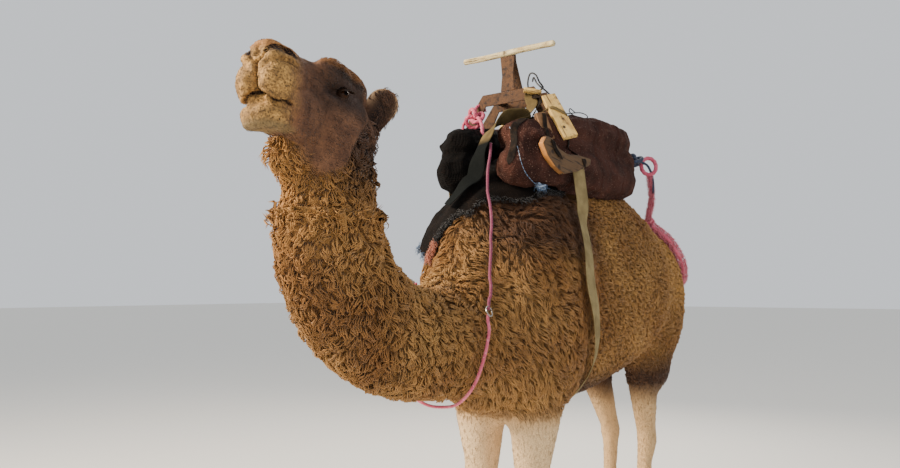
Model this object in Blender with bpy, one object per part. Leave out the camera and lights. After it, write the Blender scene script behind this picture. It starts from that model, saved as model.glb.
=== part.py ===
"""A standing dromedary camel with a padded riding saddle, life size.

Metres, +Z up, soles on z = 0. The camel faces -Y, and +X is its left side.
The flesh is modelled whole from barrels, limbs and muscle masses, blended into
one skin-tight body out to the tips of the wool, and then parted by thin cuts.
"""

import math

import bmesh
import bpy
import numpy as np
from mathutils import Matrix, Vector
from mathutils.bvhtree import BVHTree

# Driving dimensions of the animal
HEAD_PITCH = math.radians(3)     # the head is carried high, its muzzle lifted
HEAD_YAW = math.radians(13)      # turned a little to its left
POLL = Vector((0.0, -0.835, 1.925))   # back of the skull, where the neck meets it
FORE_LEG_X = 0.112
HIND_LEG_X = 0.115
EYE_RADIUS = 0.018
EYE_PLACE = (0.071, -0.164, -0.031)   # in the head's own frame
FLESH_VOXEL = 0.012
FLESH_TRIANGLES = 3100
CUT_GAP = 0.0006            # clearance left by each cut that parts the body
FIT_GAP = 0.0006            # clearance between a piece and what it rests on
LAID_GAP = 0.0056           # clearance under straps, whose faces bridge the coat's hollows

# Driving dimensions of the saddle
FRAME_Y = (0.030, 0.130)    # the two iron arches
ARCH_TOP_Z = 2.170
FLAT_IRON = (0.048, 0.006)  # width and thickness of the bar they are bent from
GRIP_Z = 2.318
GRIP_LENGTH = 0.40
GRIP_RADIUS = 0.0125
RIGHT_BOARDS_BACK = 0.30    # the right side's boards are lashed this much further back
PADDLE_FRONT_Y = -0.135
PADDLE_THICKNESS = 0.027
CLOTH_THICKNESS = 0.022
CLOTH_FRONT, CLOTH_REAR = -0.275, 0.10
CLOTH_SIDES = (-60, 30)     # degrees from upright that it reaches down the right and left
GIRTH_WIDTH = 0.074
BREAST_WIDTH = 0.070
CRUPPER_WIDTH = 0.036
WEB_THICKNESS = 0.004
ROPE_RADIUS = 0.0055

# Rings of the barrel: y, top z, bottom z, half width
BARREL = (
    (-0.38, 1.50, 1.08, 0.14),
    (-0.22, 1.75, 0.99, 0.21),
    (0.00, 1.90, 0.95, 0.26),
    (0.28, 1.96, 0.96, 0.275),
    (0.58, 1.96, 0.99, 0.315),
    (0.86, 1.89, 1.05, 0.325),
    (1.10, 1.81, 1.15, 0.29),
    (1.30, 1.70, 1.27, 0.23),
    (1.41, 1.58, 1.36, 0.13),
)
# Rings of the neck from inside the chest to the poll: y, z, half width, half depth
NECK = (
    (0.05, 1.40, 0.21, 0.30),
    (-0.22, 1.30, 0.21, 0.25),
    (-0.47, 1.245, 0.180, 0.195),
    (-0.70, 1.29, 0.165, 0.185),
    (-0.86, 1.42, 0.158, 0.185),
    (-0.915, 1.56, 0.145, 0.176),
    (-0.912, 1.66, 0.126, 0.156),
    (-0.915, 1.76, 0.120, 0.150),
    (-0.905, 1.88, 0.10, 0.13),
)


def clear_scene():
    for obj in list(bpy.data.objects):
        bpy.data.objects.remove(obj)


def link(name, mesh):
    obj = bpy.data.objects.new(name, mesh)
    bpy.context.scene.collection.objects.link(obj)
    return obj


def smooth_rows(rows, count):
    """Rows of numbers resampled evenly on a Catmull-Rom curve through them."""
    rows = np.array(rows, float)
    ends = np.vstack([2 * rows[0] - rows[1], rows, 2 * rows[-1] - rows[-2]])
    at = np.linspace(0, len(rows) - 1, count)
    i = np.minimum(at.astype(int), len(rows) - 2)
    t = (at - i)[:, None]
    a, b, c, d = ends[i], ends[i + 1], ends[i + 2], ends[i + 3]
    return 0.5 * (2 * b + (c - a) * t + (2 * a - 5 * b + 4 * c - d) * t**2
                  + (3 * b - a - 3 * c + d) * t**3)


def add_loft(bm, rings):
    """Bridges rings of equally many points into one closed tube with flat ends."""
    loops = [[bm.verts.new(p) for p in ring] for ring in rings]
    sides = len(loops[0])
    for a, b in zip(loops, loops[1:]):
        for i in range(sides):
            j = (i + 1) % sides
            bm.faces.new((a[i], a[j], b[j], b[i]))
    bm.faces.new(loops[0][::-1])
    bm.faces.new(loops[-1])


def add_limb(bm, rows, rings=24, sides=20):
    """A limb or neck: rows of (centre, half width along X, half depth across the path)."""
    table = smooth_rows([(*c, w, d) for c, w, d in rows], rings)
    centres = table[:, :3]
    along = np.gradient(centres, axis=0)
    along /= np.linalg.norm(along, axis=1)[:, None]
    turn = np.linspace(0, 2 * math.pi, sides, endpoint=False)
    loops = []
    for centre, tangent, (half_w, half_d) in zip(centres, along, table[:, 3:]):
        side = np.array((1.0, 0.0, 0.0)) - tangent * tangent[0]
        side /= np.linalg.norm(side)
        up = np.cross(tangent, side)
        loops.append([
            centre + side * half_w * math.cos(a) + up * half_d * math.sin(a) for a in turn
        ])
    add_loft(bm, loops)


def add_barrel(bm, rows, rings=30, sides=28):
    """The trunk: upright rings, narrower above, where the spine is, than below."""
    turn = np.linspace(0, 2 * math.pi, sides, endpoint=False)
    loops = []
    for y, top, bottom, half_w in smooth_rows(rows, rings):
        mid, half_h = (top + bottom) / 2, (top - bottom) / 2
        loops.append([
            (half_w * math.cos(a) * (1 - 0.16 * math.sin(a)), y, mid + half_h * math.sin(a))
            for a in turn
        ])
    add_loft(bm, loops)


def add_ball(bm, centre, radii, pitch=0.0, yaw=0.0, roll=0.0):
    """An ellipsoid, turned by roll about Y, then pitch about X and yaw about Z, in degrees."""
    turned = (Matrix.Rotation(math.radians(yaw), 4, "Z")
              @ Matrix.Rotation(math.radians(pitch), 4, "X")
              @ Matrix.Rotation(math.radians(roll), 4, "Y"))
    place = Matrix.Translation(centre) @ turned @ Matrix.Diagonal((*radii, 1))
    bmesh.ops.create_uvsphere(bm, u_segments=24, v_segments=16, radius=1, matrix=place)


def add_pair(bm, centre, radii, pitch=0.0, yaw=0.0, roll=0.0):
    """The same ellipsoid on the camel's left side and mirrored on its right."""
    x, y, z = centre
    add_ball(bm, (x, y, z), radii, pitch, yaw, roll)
    add_ball(bm, (-x, y, z), radii, pitch, -yaw, -roll)


def add_trunk(bm):
    add_barrel(bm, BARREL)
    add_ball(bm, (0, 0.45, 1.84), (0.16, 0.32, 0.25))                   # hump
    add_ball(bm, (0, 0.02, 1.00), (0.12, 0.17, 0.07))                   # chest pad
    add_pair(bm, (0.150, 0.03, 1.38), (0.172, 0.32, 0.41), pitch=-6)    # shoulder wool
    add_pair(bm, (0.160, -0.02, 1.18), (0.130, 0.26, 0.18))             # upper arm
    add_pair(bm, (0.165, 1.15, 1.38), (0.14, 0.25, 0.34), pitch=6)      # haunch
    add_pair(bm, (0.145, 1.12, 1.12), (0.10, 0.19, 0.22), pitch=10)     # thigh
    add_ball(bm, (0, 1.20, 1.60), (0.19, 0.21, 0.16))                   # croup


def add_neck(bm):
    add_limb(bm, [((0, y, z), w, d) for y, z, w, d in NECK], rings=36, sides=24)
    add_ball(bm, (0, -1.055, 1.745), (0.073, 0.085, 0.076))             # wool under the jaw


def add_fore_leg(bm, side, shift):
    """Forearm, flat-fronted knee, slender cannon, fetlock and pastern."""
    x = FORE_LEG_X * side
    rows = (
        ((x * 1.15, 0.02, 1.16), 0.105, 0.14),
        ((x * 1.05, 0.01 + shift * 0.1, 1.00), 0.098, 0.120),
        ((x * 0.97, 0.00 + shift * 0.3, 0.80), 0.066, 0.082),
        ((x, 0.0 + shift * 0.5, 0.64), 0.060, 0.060),
        ((x, 0.0 + shift * 0.55, 0.57), 0.062, 0.062),
        ((x, 0.01 + shift * 0.7, 0.48), 0.042, 0.044),
        ((x, 0.02 + shift * 0.85, 0.32), 0.036, 0.040),
        ((x, 0.02 + shift * 0.95, 0.20), 0.046, 0.052),
        ((x, -0.01 + shift, 0.12), 0.045, 0.045),
        ((x, -0.05 + shift, 0.05), 0.060, 0.060),
    )
    add_limb(bm, rows, rings=34, sides=18)
    add_foot(bm, x, -0.045 + shift, 0.098, 0.115)


def add_hind_leg(bm, side, shift):
    """Thigh, gaskin, hock with its point behind, long cannon, fetlock and pastern."""
    x = HIND_LEG_X * side
    rows = (
        ((x * 1.25, 1.14, 1.42), 0.12, 0.20),
        ((x * 1.25, 1.06 + shift * 0.1, 1.18), 0.105, 0.155),
        ((x * 1.10, 1.12 + shift * 0.3, 0.95), 0.072, 0.095),
        ((x, 1.21 + shift * 0.5, 0.76), 0.050, 0.062),
        ((x, 1.235 + shift * 0.6, 0.69), 0.052, 0.064),
        ((x, 1.22 + shift * 0.7, 0.60), 0.040, 0.050),
        ((x, 1.20 + shift * 0.85, 0.40), 0.034, 0.040),
        ((x, 1.18 + shift * 0.95, 0.22), 0.042, 0.050),
        ((x, 1.15 + shift, 0.12), 0.041, 0.042),
        ((x, 1.11 + shift, 0.05), 0.055, 0.055),
    )
    add_limb(bm, rows, rings=36, sides=18)
    add_foot(bm, x, 1.115 + shift, 0.085, 0.10)


def add_foot(bm, x, y, half_w, half_l):
    """The broad leathery pad with its two toes. Its underside is cut flat later."""
    add_ball(bm, (x, y, 0.015), (half_w, half_l, 0.045))
    for toe in (-1, 1):
        add_ball(bm, (x + toe * half_w * 0.45, y - half_l * 0.55, 0.03),
                 (half_w * 0.46, half_l * 0.62, 0.042), yaw=-6 * toe)


def add_tail(bm):
    rows = (
        ((0, 1.36, 1.60), 0.045, 0.045),
        ((0, 1.49, 1.53), 0.036, 0.036),
        ((0.0, 1.545, 1.38), 0.028, 0.026),
        ((0.005, 1.555, 1.22), 0.026, 0.024),
        ((0.01, 1.55, 1.08), 0.034, 0.032),
        ((0.01, 1.545, 0.97), 0.020, 0.020),
    )
    add_limb(bm, rows, rings=18, sides=12)


# The head's own frame: origin at the poll, -Y to the muzzle, +Z up, +X its left.
def head_place():
    return (Matrix.Translation(POLL) @ Matrix.Rotation(HEAD_YAW, 4, "Z")
            @ Matrix.Rotation(-HEAD_PITCH, 4, "X"))


def add_head(bm):
    local = bmesh.new()
    add_ball(local, (0, -0.090, 0.000), (0.080, 0.108, 0.080))                  # cranium
    add_pair(local, (0.052, -0.182, 0.014), (0.034, 0.084, 0.039), yaw=6)       # brow over the eye
    add_pair(local, (0.056, -0.160, -0.004), (0.029, 0.050, 0.017))             # eye socket's edge
    add_pair(local, (0.052, -0.175, -0.062), (0.028, 0.070, 0.020), pitch=-10)  # cheekbone
    add_ball(local, (0, -0.245, -0.017), (0.060, 0.155, 0.056), pitch=3)        # bridge of the nose
    add_ball(local, (0, -0.230, -0.085), (0.060, 0.120, 0.070))                 # side of the face
    add_ball(local, (0, -0.345, -0.040), (0.070, 0.082, 0.080))                 # muzzle
    add_ball(local, (0, -0.376, 0.005), (0.043, 0.046, 0.036))                  # nose tip
    add_pair(local, (0.034, -0.383, -0.070), (0.038, 0.046, 0.056), roll=8)     # split upper lip
    add_ball(local, (0, -0.372, -0.149), (0.060, 0.060, 0.041), pitch=10)       # lower lip and chin
    add_ball(local, (0, -0.265, -0.135), (0.055, 0.155, 0.050), pitch=6)        # lower jaw
    add_pair(local, (0.050, -0.105, -0.105), (0.047, 0.110, 0.105), pitch=-12)  # cheek
    add_ball(local, (0, -0.060, -0.12), (0.085, 0.11, 0.15))                    # throat
    local.transform(head_place())
    copy = bpy.data.meshes.new("head_parts")
    local.to_mesh(copy)
    local.free()
    bm.from_mesh(copy)


def blended_flesh():
    """Joins every mass, blends them, and keeps the triangles where the form turns most."""
    bm = bmesh.new()
    add_trunk(bm)
    add_neck(bm)
    add_head(bm)
    add_tail(bm)
    for side, fore_shift, hind_shift in ((1, 0.0, -0.14), (-1, 0.02, 0.04)):
        add_fore_leg(bm, side, fore_shift)
        add_hind_leg(bm, side, hind_shift)
    mesh = bpy.data.meshes.new("flesh")
    bm.to_mesh(mesh)
    bm.free()
    flesh = link("flesh", mesh)
    blend = flesh.modifiers.new("blend", "REMESH")
    blend.mode = "VOXEL"
    blend.voxel_size = FLESH_VOXEL
    soften = flesh.modifiers.new("soften", "SMOOTH")
    soften.factor = 0.5
    soften.iterations = 8
    return flesh


def apply_modifiers(obj):
    graph = bpy.context.evaluated_depsgraph_get()
    mesh = bpy.data.meshes.new_from_object(obj.evaluated_get(graph))
    obj.modifiers.clear()
    obj.data = mesh


def thin_out(obj, triangles):
    """Takes triangles away, fewer from the head and the feet than from the rest."""
    coarse = obj.vertex_groups.new(name="coarse")
    for v in obj.data.vertices:
        head = v.co.y < -0.80 and v.co.z > 1.75
        foot = v.co.z < 0.12
        coarse.add([v.index], 0.8 if head else 0.85 if foot else 1.0, "REPLACE")
    tidy = obj.modifiers.new("thin_out", "DECIMATE")
    tidy.vertex_group = "coarse"
    tidy.vertex_group_factor = 1.0
    tidy.ratio = triangles / sum(len(p.vertices) - 2 for p in obj.data.polygons)
    apply_modifiers(obj)


def duplicate(obj, name):
    return link(name, obj.data.copy())


def remove(obj):
    bpy.data.objects.remove(obj)


def combine(obj, other, operation):
    """Applies one exact Boolean to obj and leaves the other as it is."""
    step = obj.modifiers.new("cut", "BOOLEAN")
    step.operation = operation
    step.solver = "EXACT"
    step.object = other
    apply_modifiers(obj)


def swollen(obj, gap):
    """A copy whose points stand out by the gap, to cut clearance with."""
    copy = duplicate(obj, obj.name + "_swollen")
    count = len(copy.data.vertices)
    points = np.empty(count * 3, np.float32)
    normals = np.empty(count * 3, np.float32)
    copy.data.vertices.foreach_get("co", points)
    copy.data.vertices.foreach_get("normal", normals)
    copy.data.vertices.foreach_set("co", points + normals * gap)
    return copy


def half_space(obj, point, normal, name):
    """The part of obj behind a plane, closed flat there."""
    piece = duplicate(obj, name)
    bm = bmesh.new()
    bm.from_mesh(piece.data)
    everything = bm.verts[:] + bm.edges[:] + bm.faces[:]
    bmesh.ops.bisect_plane(bm, geom=everything, plane_co=point, plane_no=normal,
                           clear_outer=True, dist=1e-6)
    rim = [e for e in bm.edges if e.is_boundary]
    bmesh.ops.holes_fill(bm, edges=rim, sides=0)
    bmesh.ops.recalc_face_normals(bm, faces=bm.faces[:])
    bm.to_mesh(piece.data)
    bm.free()
    return piece


def part_at(obj, point, normal, far_name):
    """Parts obj by a plane with a thin gap. Returns the near part and the far one."""
    normal = Vector(normal).normalized()
    point = Vector(point)
    far = half_space(obj, point + normal * CUT_GAP / 2, -normal, far_name)
    near = half_space(obj, point - normal * CUT_GAP / 2, normal, "rest")
    remove(obj)
    return near, far


def solid_from(name, points, faces):
    mesh = bpy.data.meshes.new(name)
    mesh.from_pydata([tuple(p) for p in points], [], faces)
    bm = bmesh.new()
    bm.from_mesh(mesh)
    bmesh.ops.recalc_face_normals(bm, faces=bm.faces[:])
    bm.to_mesh(mesh)
    bm.free()
    return link(name, mesh)


def leg_region(side, y_low, y_high, inner_z, slope, grow):
    """A wedge around one leg. Its top rises outwards."""
    x_in, x_out = 0.004 * side, 0.50 * side
    x_in -= grow * side
    top_in = inner_z + grow
    top_out = inner_z + slope * 0.5 + grow
    y_low, y_high = y_low - grow, y_high + grow
    points = [(x, y, z) for x, top in ((x_in, top_in), (x_out, top_out))
              for y in (y_low, y_high) for z in (-0.2, top)]
    faces = [(0, 1, 3, 2), (4, 6, 7, 5), (0, 4, 5, 1), (2, 3, 7, 6), (0, 2, 6, 4), (1, 5, 7, 3)]
    return solid_from("leg_region", points, faces)


def part_flesh(flesh):
    """Divides the body into head, neck, trunk, hump, tail and four legs."""
    rest, head = part_at(flesh, (0, -0.90, 1.845), (0, -0.43, 0.90), "head")
    rest, neck = part_at(rest, (0, -0.42, 1.3), (0, -1, -0.10), "neck")
    rest, tail = part_at(rest, (0, 1.462, 1.5), (0, 1, 0), "tail")
    rest, hump = part_at(rest, (0, 0.4, 1.885), (0, 0, 1), "hump")
    legs = (
        ("foreleg_left", 1, -0.24, 0.24, 0.955, 0.42),
        ("foreleg_right", -1, -0.24, 0.24, 0.955, 0.42),
        ("hindleg_left", 1, 0.74, 1.45, 1.045, 0.95),
        ("hindleg_right", -1, 0.74, 1.45, 1.045, 0.95),
    )
    pieces = [head, neck, tail, hump]
    for name, side, y_low, y_high, inner_z, slope in legs:
        region = leg_region(side, y_low, y_high, inner_z, slope, 0.0)
        leg = duplicate(rest, name)
        combine(leg, region, "INTERSECT")
        remove(region)
        pieces.append(leg)
    for _, side, y_low, y_high, inner_z, slope in legs:
        region = leg_region(side, y_low, y_high, inner_z, slope, CUT_GAP)
        combine(rest, region, "DIFFERENCE")
        remove(region)
    rest.name = "trunk"
    return pieces + [rest]


def ball_piece(name, centre, radii, segments=14, rings=9, turned=None):
    """An ellipsoid solid of its own, its poles along its own Z."""
    bm = bmesh.new()
    place = Matrix.Translation(centre) @ (turned or Matrix()) @ Matrix.Diagonal((*radii, 1))
    bmesh.ops.create_uvsphere(bm, u_segments=segments, v_segments=rings, radius=1, matrix=place)
    mesh = bpy.data.meshes.new(name)
    bm.to_mesh(mesh)
    bm.free()
    return link(name, mesh)


def make_eyes(head):
    """Eyeballs in sockets that leave a hair's clearance."""
    for name, side in (("eye_left", 1), ("eye_right", -1)):
        x, y, z = EYE_PLACE
        centre = head_place() @ Vector((x * side, y, z))
        socket = ball_piece("socket", centre, [EYE_RADIUS + FIT_GAP] * 3, 12, 8)
        combine(head, socket, "DIFFERENCE")
        remove(socket)
        ball_piece(name, centre, [EYE_RADIUS] * 3, 12, 8)


def make_ears(head_form):
    """Short rounded cups held out and back, open to the front, their roots on the skull."""
    for name, side in (("ear_left", 1), ("ear_right", -1)):
        tip = Vector((0.52 * side, 0.16, 0.80)).normalized()
        mouth = Vector((0.50 * side, -0.80, 0.10))
        back = -(mouth - tip * mouth.dot(tip)).normalized()
        across = back.cross(tip)
        lean = Matrix((across, back, tip)).transposed().to_4x4()
        place = head_place() @ Matrix.Translation((0.064 * side, -0.004, -0.056)) @ lean
        ear = ball_piece(name, (0, 0, 0.038), (0.040, 0.022, 0.058), 10, 8)
        hollow = ball_piece("hollow", (0.0, -0.020, 0.046), (0.031, 0.022, 0.043), 8, 6)
        combine(ear, hollow, "DIFFERENCE")
        remove(hollow)
        ear.data.transform(place)
        combine(ear, head_form, "DIFFERENCE")


def make_nails(skin_form):
    """A blunt nail at the tip of each of the eight toes."""
    feet = (
        ("foreleg_left", FORE_LEG_X, -0.045, 0.098, 0.115),
        ("foreleg_right", -FORE_LEG_X, -0.025, 0.098, 0.115),
        ("hindleg_left", HIND_LEG_X, 0.975, 0.085, 0.10),
        ("hindleg_right", -HIND_LEG_X, 1.155, 0.085, 0.10),
    )
    for leg, x, y, half_w, half_l in feet:
        for toe, where in ((1, "outer"), (-1, "inner")):
            side = toe if x > 0 else -toe
            centre = (x + side * half_w * 0.50, y - half_l * 1.12, 0.034)
            nail = ball_piece(f"nail_{leg}_{where}", centre, (0.019, 0.016, 0.013), 6, 5)
            combine(nail, skin_form, "DIFFERENCE")
            nail.data.transform(Matrix.Translation((0, -FIT_GAP * 2, 0)))


def tangents(points):
    along = np.gradient(points, axis=0)
    return along / np.linalg.norm(along, axis=1)[:, None]


def round_section(sides, squareness=1.0):
    """Points of a superellipse: 1 is an ellipse, less is squarer."""
    turn = np.linspace(0, 2 * math.pi, sides, endpoint=False)
    c, s = np.cos(turn), np.sin(turn)
    return np.stack([np.sign(c) * abs(c)**squareness, np.sign(s) * abs(s)**squareness], 1)


def sweep(name, points, ups, section, half_sizes):
    """Carries a flat section along points. Its X lies across the path, its Y along ups."""
    points, ups = np.asarray(points, float), np.asarray(ups, float)
    along = tangents(points)
    across = np.cross(along, ups)
    across /= np.linalg.norm(across, axis=1)[:, None]
    ups = np.cross(across, along)
    half_sizes = np.broadcast_to(np.asarray(half_sizes, float), (len(points), 2))
    wide = (half_sizes[:, :1] * section[:, 0])[:, :, None]
    high = (half_sizes[:, 1:] * section[:, 1])[:, :, None]
    rings = points[:, None] + across[:, None] * wide + ups[:, None] * high
    count, sides = rings.shape[:2]
    faces = [(i * sides + j, i * sides + (j + 1) % sides,
              (i + 1) * sides + (j + 1) % sides, (i + 1) * sides + j)
             for i in range(count - 1) for j in range(sides)]
    faces += [tuple(range(sides)), tuple(range((count - 1) * sides, count * sides))]
    return solid_from(name, rings.reshape(-1, 3), faces)


BOX_SECTION = np.array([(-1, -1), (1, -1), (1, 1), (-1, 1)], float)


def plate(name, outline, thickness, place):
    """A flat outline in the XY plane, given a thickness along Z and put in its place."""
    points = [place @ Vector((x, y, z * thickness / 2)) for z in (-1, 1) for x, y in outline]
    n = len(outline)
    faces = [tuple(range(n)), tuple(range(n, 2 * n))]
    faces += [(i, (i + 1) % n, n + (i + 1) % n, n + i) for i in range(n)]
    return solid_from(name, points, faces)


def upright(y):
    """Turns a plate's XY plane into the XZ plane at this y."""
    return Matrix.Translation((0, y, 0)) @ Matrix.Rotation(math.radians(90), 4, "X")


def mirrored(rows):
    """A left-hand path carried on over the middle to its mirror image."""
    rows = [tuple(row) for row in rows]
    flipped = [(-row[0], *row[1:]) for row in reversed(rows)]
    return rows + (flipped[1:] if rows[-1][0] == 0 else flipped)


# The saddle's stuffed rolls, one on the other, in a ring open to the front:
# x, y, z of the middle, half width, half height
ROLL_LOWER = (
    (0.090, -0.190, 1.840, 0.050, 0.045),
    (0.118, -0.150, 1.842, 0.080, 0.078),
    (0.165, -0.020, 1.848, 0.088, 0.086),
    (0.190, 0.160, 1.855, 0.088, 0.088),
    (0.196, 0.400, 1.865, 0.086, 0.088),
    (0.188, 0.600, 1.875, 0.086, 0.088),
    (0.150, 0.725, 1.895, 0.086, 0.086),
    (0.070, 0.768, 1.925, 0.086, 0.082),
    (0.0, 0.775, 1.935, 0.086, 0.080),
)
ROLL_UPPER = (
    (0.085, -0.165, 1.955, 0.040, 0.030),
    (0.108, -0.125, 1.962, 0.068, 0.048),
    (0.150, -0.010, 1.985, 0.076, 0.052),
    (0.176, 0.160, 2.010, 0.078, 0.062),
    (0.184, 0.400, 2.035, 0.078, 0.076),
    (0.178, 0.590, 2.045, 0.078, 0.076),
    (0.142, 0.705, 2.060, 0.078, 0.074),
    (0.068, 0.745, 2.082, 0.078, 0.070),
    (0.0, 0.750, 2.090, 0.078, 0.068),
)


def make_roll(name, rows, forms):
    """One stuffed roll, pressed flat where it bears on other pieces."""
    table = smooth_rows(mirrored(rows), 27)
    roll = sweep(name, table[:, :3], [(0, 0, 1)] * len(table), round_section(9, 0.86),
                 table[:, 3:])
    for form in forms:
        combine(roll, form, "DIFFERENCE")
    return roll


def cloth_shell(name, body):
    """A solid from inside the body out to the cloth's thickness above it, over the withers."""
    rows, columns = 7, 9
    lines = []
    for y in np.linspace(CLOTH_FRONT, CLOTH_REAR, rows):
        for turn in np.radians(np.linspace(*CLOTH_SIDES, columns)):
            out = Vector((math.sin(turn), 0, math.cos(turn)))
            middle = Vector((0, y, 1.42))
            hit = body.ray_cast(middle + out * 2, -out)[0]
            lines.append((hit + out * CLOTH_THICKNESS, hit - out * 0.05))
    grid = np.arange(rows * columns).reshape(rows, columns)
    points = [high for high, _ in lines] + [low for _, low in lines]
    under = rows * columns
    faces = []
    for i in range(rows - 1):
        for j in range(columns - 1):
            a, b, c, d = grid[i, j], grid[i + 1, j], grid[i + 1, j + 1], grid[i, j + 1]
            for tri in ((a, b, c), (a, c, d)):
                faces += [tri, tuple(i + under for i in reversed(tri))]
    edge = list(grid[0]) + list(grid[1:, -1]) + list(grid[-1, -2::-1]) + list(grid[-2:0:-1, 0])
    faces += [(a, b, b + under, a + under) for a, b in zip(edge, edge[1:] + edge[:1])]
    faces = [tuple(int(i) for i in face) for face in faces]
    return solid_from(name, points, faces)


def hug(waypoints, surface, middle, lift, half_width, count):
    """Points on a smooth line through the waypoints, laid on the surface from outside.

    Each is first dropped towards the middle, then the line is smoothed, and raised
    wherever it would come closer than lift, over its whole width.
    """
    points, normals = [], []
    for p in smooth_rows(waypoints, count):
        out = (Vector(p) - Vector(middle)).normalized()
        hit, normal, _, _ = surface.ray_cast(Vector(middle) + out * 2, -out)
        points.append(hit)
        normals.append(normal)
    points, normals = np.array(points), np.array(normals)
    for _ in range(4):
        normals[1:-1] = (normals[:-2] + normals[1:-1] * 2 + normals[2:]) / 4
    normals /= np.linalg.norm(normals, axis=1)[:, None]
    points += normals * lift
    for _ in range(5):
        across = np.cross(tangents(points), normals)
        for i, (p, side, up) in enumerate(zip(points.copy(), across, normals)):
            short = -0.003
            for k in np.linspace(-1, 1, 9):
                test = Vector(p + side * half_width * k)
                hit, normal, _, _ = surface.find_nearest(test)
                short = max(short, lift - (test - hit).dot(normal))
            points[i] += up * short
        between = (points[:-2] + points[2:]) / 2
        dips = ((between - points[1:-1]) * normals[1:-1]).sum(axis=1)
        points[1:-1] += normals[1:-1] * np.maximum(dips, 0)[:, None]
    return points, normals


def surface_of(objects):
    """One tree for nearest-point and ray tests on several solids."""
    points, faces = [], []
    for obj in objects:
        base = len(points)
        points += [v.co.copy() for v in obj.data.vertices]
        faces += [[base + i for i in p.vertices] for p in obj.data.polygons]
    return BVHTree.FromPolygons(points, faces)


def web(name, waypoints, surface, middle, width, count, gap=LAID_GAP):
    """A flat woven strap laid on the surface."""
    lift = gap + WEB_THICKNESS / 2
    points, normals = hug(waypoints, surface, middle, lift, width / 2, count)
    return sweep(name, points, normals, BOX_SECTION, (width / 2, WEB_THICKNESS / 2))


def rope(name, waypoints, surface, middle, radius, count):
    points, normals = hug(waypoints, surface, middle, radius + LAID_GAP, 0.0, count)
    return sweep(name, points, normals, round_section(6), (radius, radius))


# Straps and ropes, by points near their middle line on the left side
GIRTH = (
    (0.275, 0.060, 1.820), (0.285, 0.070, 1.760), (0.271, 0.082, 1.680), (0.300, 0.060, 1.560),
    (0.322, 0.035, 1.470), (0.325, 0.062, 1.370), (0.305, 0.140, 1.220), (0.250, 0.210, 1.075),
    (0.140, 0.240, 0.965), (0.0, 0.240, 0.945),
)
BREAST_ROPE_UPPER = (
    (0.060, -0.215, 1.770), (0.095, -0.256, 1.645), (0.118, -0.296, 1.542),
    (0.140, -0.340, 1.440), (0.168, -0.385, 1.376),
)
BREAST_ROPE_LOWER = (
    (0.183, -0.420, 1.310), (0.180, -0.440, 1.230), (0.150, -0.445, 1.140),
    (0.075, -0.430, 1.065), (0.0, -0.425, 1.050), (-0.075, -0.430, 1.065),
    (-0.150, -0.445, 1.140), (-0.180, -0.440, 1.230), (-0.183, -0.420, 1.310),
    (-0.168, -0.385, 1.376), (-0.145, -0.345, 1.435),
)
BREAST_BAND = (
    (0.095, -0.015, 2.040), (0.072, -0.090, 2.000), (0.035, -0.165, 1.930),
    (-0.010, -0.215, 1.850), (-0.048, -0.245, 1.765), (-0.078, -0.262, 1.705),
)
CLIP_PLACE = (0.176, -0.402, 1.343)
CRUPPER = (
    (0.228, 1.010, 1.800), (0.240, 1.080, 1.720), (0.258, 1.160, 1.620), (0.262, 1.240, 1.540),
    (0.225, 1.330, 1.470), (0.130, 1.410, 1.430), (0.0, 1.440, 1.420),
)


ARCH_OUTLINE = (
    # Middle line of one bent arch, left foot to right foot: x, z
    (0.172, 2.034), (0.150, 2.078), (0.106, ARCH_TOP_Z - 0.024), (-0.106, ARCH_TOP_Z - 0.024),
    (-0.150, 2.078), (-0.172, 2.034),
)


def make_arch(name, y, grow=0.0):
    """Flat iron bent into a broad arch that stands on the rolls, its wide face to the front."""
    line = np.array([(x, 0, z) for x, z in ARCH_OUTLINE])
    half_w, half_t = FLAT_IRON[0] / 2 + grow, FLAT_IRON[1] / 2 + grow
    along = tangents(line)
    line[0] -= along[0] * grow
    line[-1] += along[-1] * grow
    outward = np.cross(along, (0, 1.0, 0))
    outward *= np.sign(outward @ (0, 0, 1.0) + 1e-9)[:, None]
    edge_a = line + outward * half_w
    edge_b = line - outward * half_w
    outline = [(p[0], p[2]) for p in edge_a] + [(p[0], p[2]) for p in edge_b[::-1]]
    return plate(name, outline, half_t * 2, upright(y))


def make_frame():
    """Two iron arches, the plate and the brace that carry the grip, and the grip itself."""
    front, rear = FRAME_Y
    iron_w, iron_t = FLAT_IRON
    make_arch("frame_arch_front", front)
    make_arch("frame_arch_rear", rear)
    low, high = ARCH_TOP_Z + FIT_GAP, GRIP_Z - GRIP_RADIUS - FIT_GAP
    riser = ((0.030, low), (0.024, low + 0.06), (0.031, high), (-0.031, high),
             (-0.024, low + 0.06), (-0.030, low))
    plate("frame_riser", riser, iron_t, upright(front))
    lift = iron_t + 0.001
    brace = (
        (0, rear - 0.012, ARCH_TOP_Z + lift - 0.004), (0, rear - 0.030, ARCH_TOP_Z + 0.024),
        (0, front + 0.022, GRIP_Z - 0.030), (0, front + GRIP_RADIUS + 0.006, GRIP_Z + 0.004),
    )
    sweep("frame_brace", brace, [(0, 1, 0.5)] * 4, BOX_SECTION, (iron_w / 2, iron_t / 2))
    tie = ((0.078, front + iron_t / 2 + FIT_GAP, ARCH_TOP_Z - 0.020),
           (0.078, rear - iron_t / 2 - FIT_GAP, ARCH_TOP_Z - 0.020))
    for name, side in (("frame_tie_left", 1), ("frame_tie_right", -1)):
        ends = [(x * side, y, z) for x, y, z in tie]
        sweep(name, ends, [(0, 0, 1)] * 2, BOX_SECTION, (0.015, 0.004))
    ends = [(x * GRIP_LENGTH / 2, front, GRIP_Z) for x in (-1, -0.5, 0, 0.5, 1)]
    sweep("grip_bar", ends, [(0, 0, 1)] * 5, round_section(12), (GRIP_RADIUS, GRIP_RADIUS))


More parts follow.
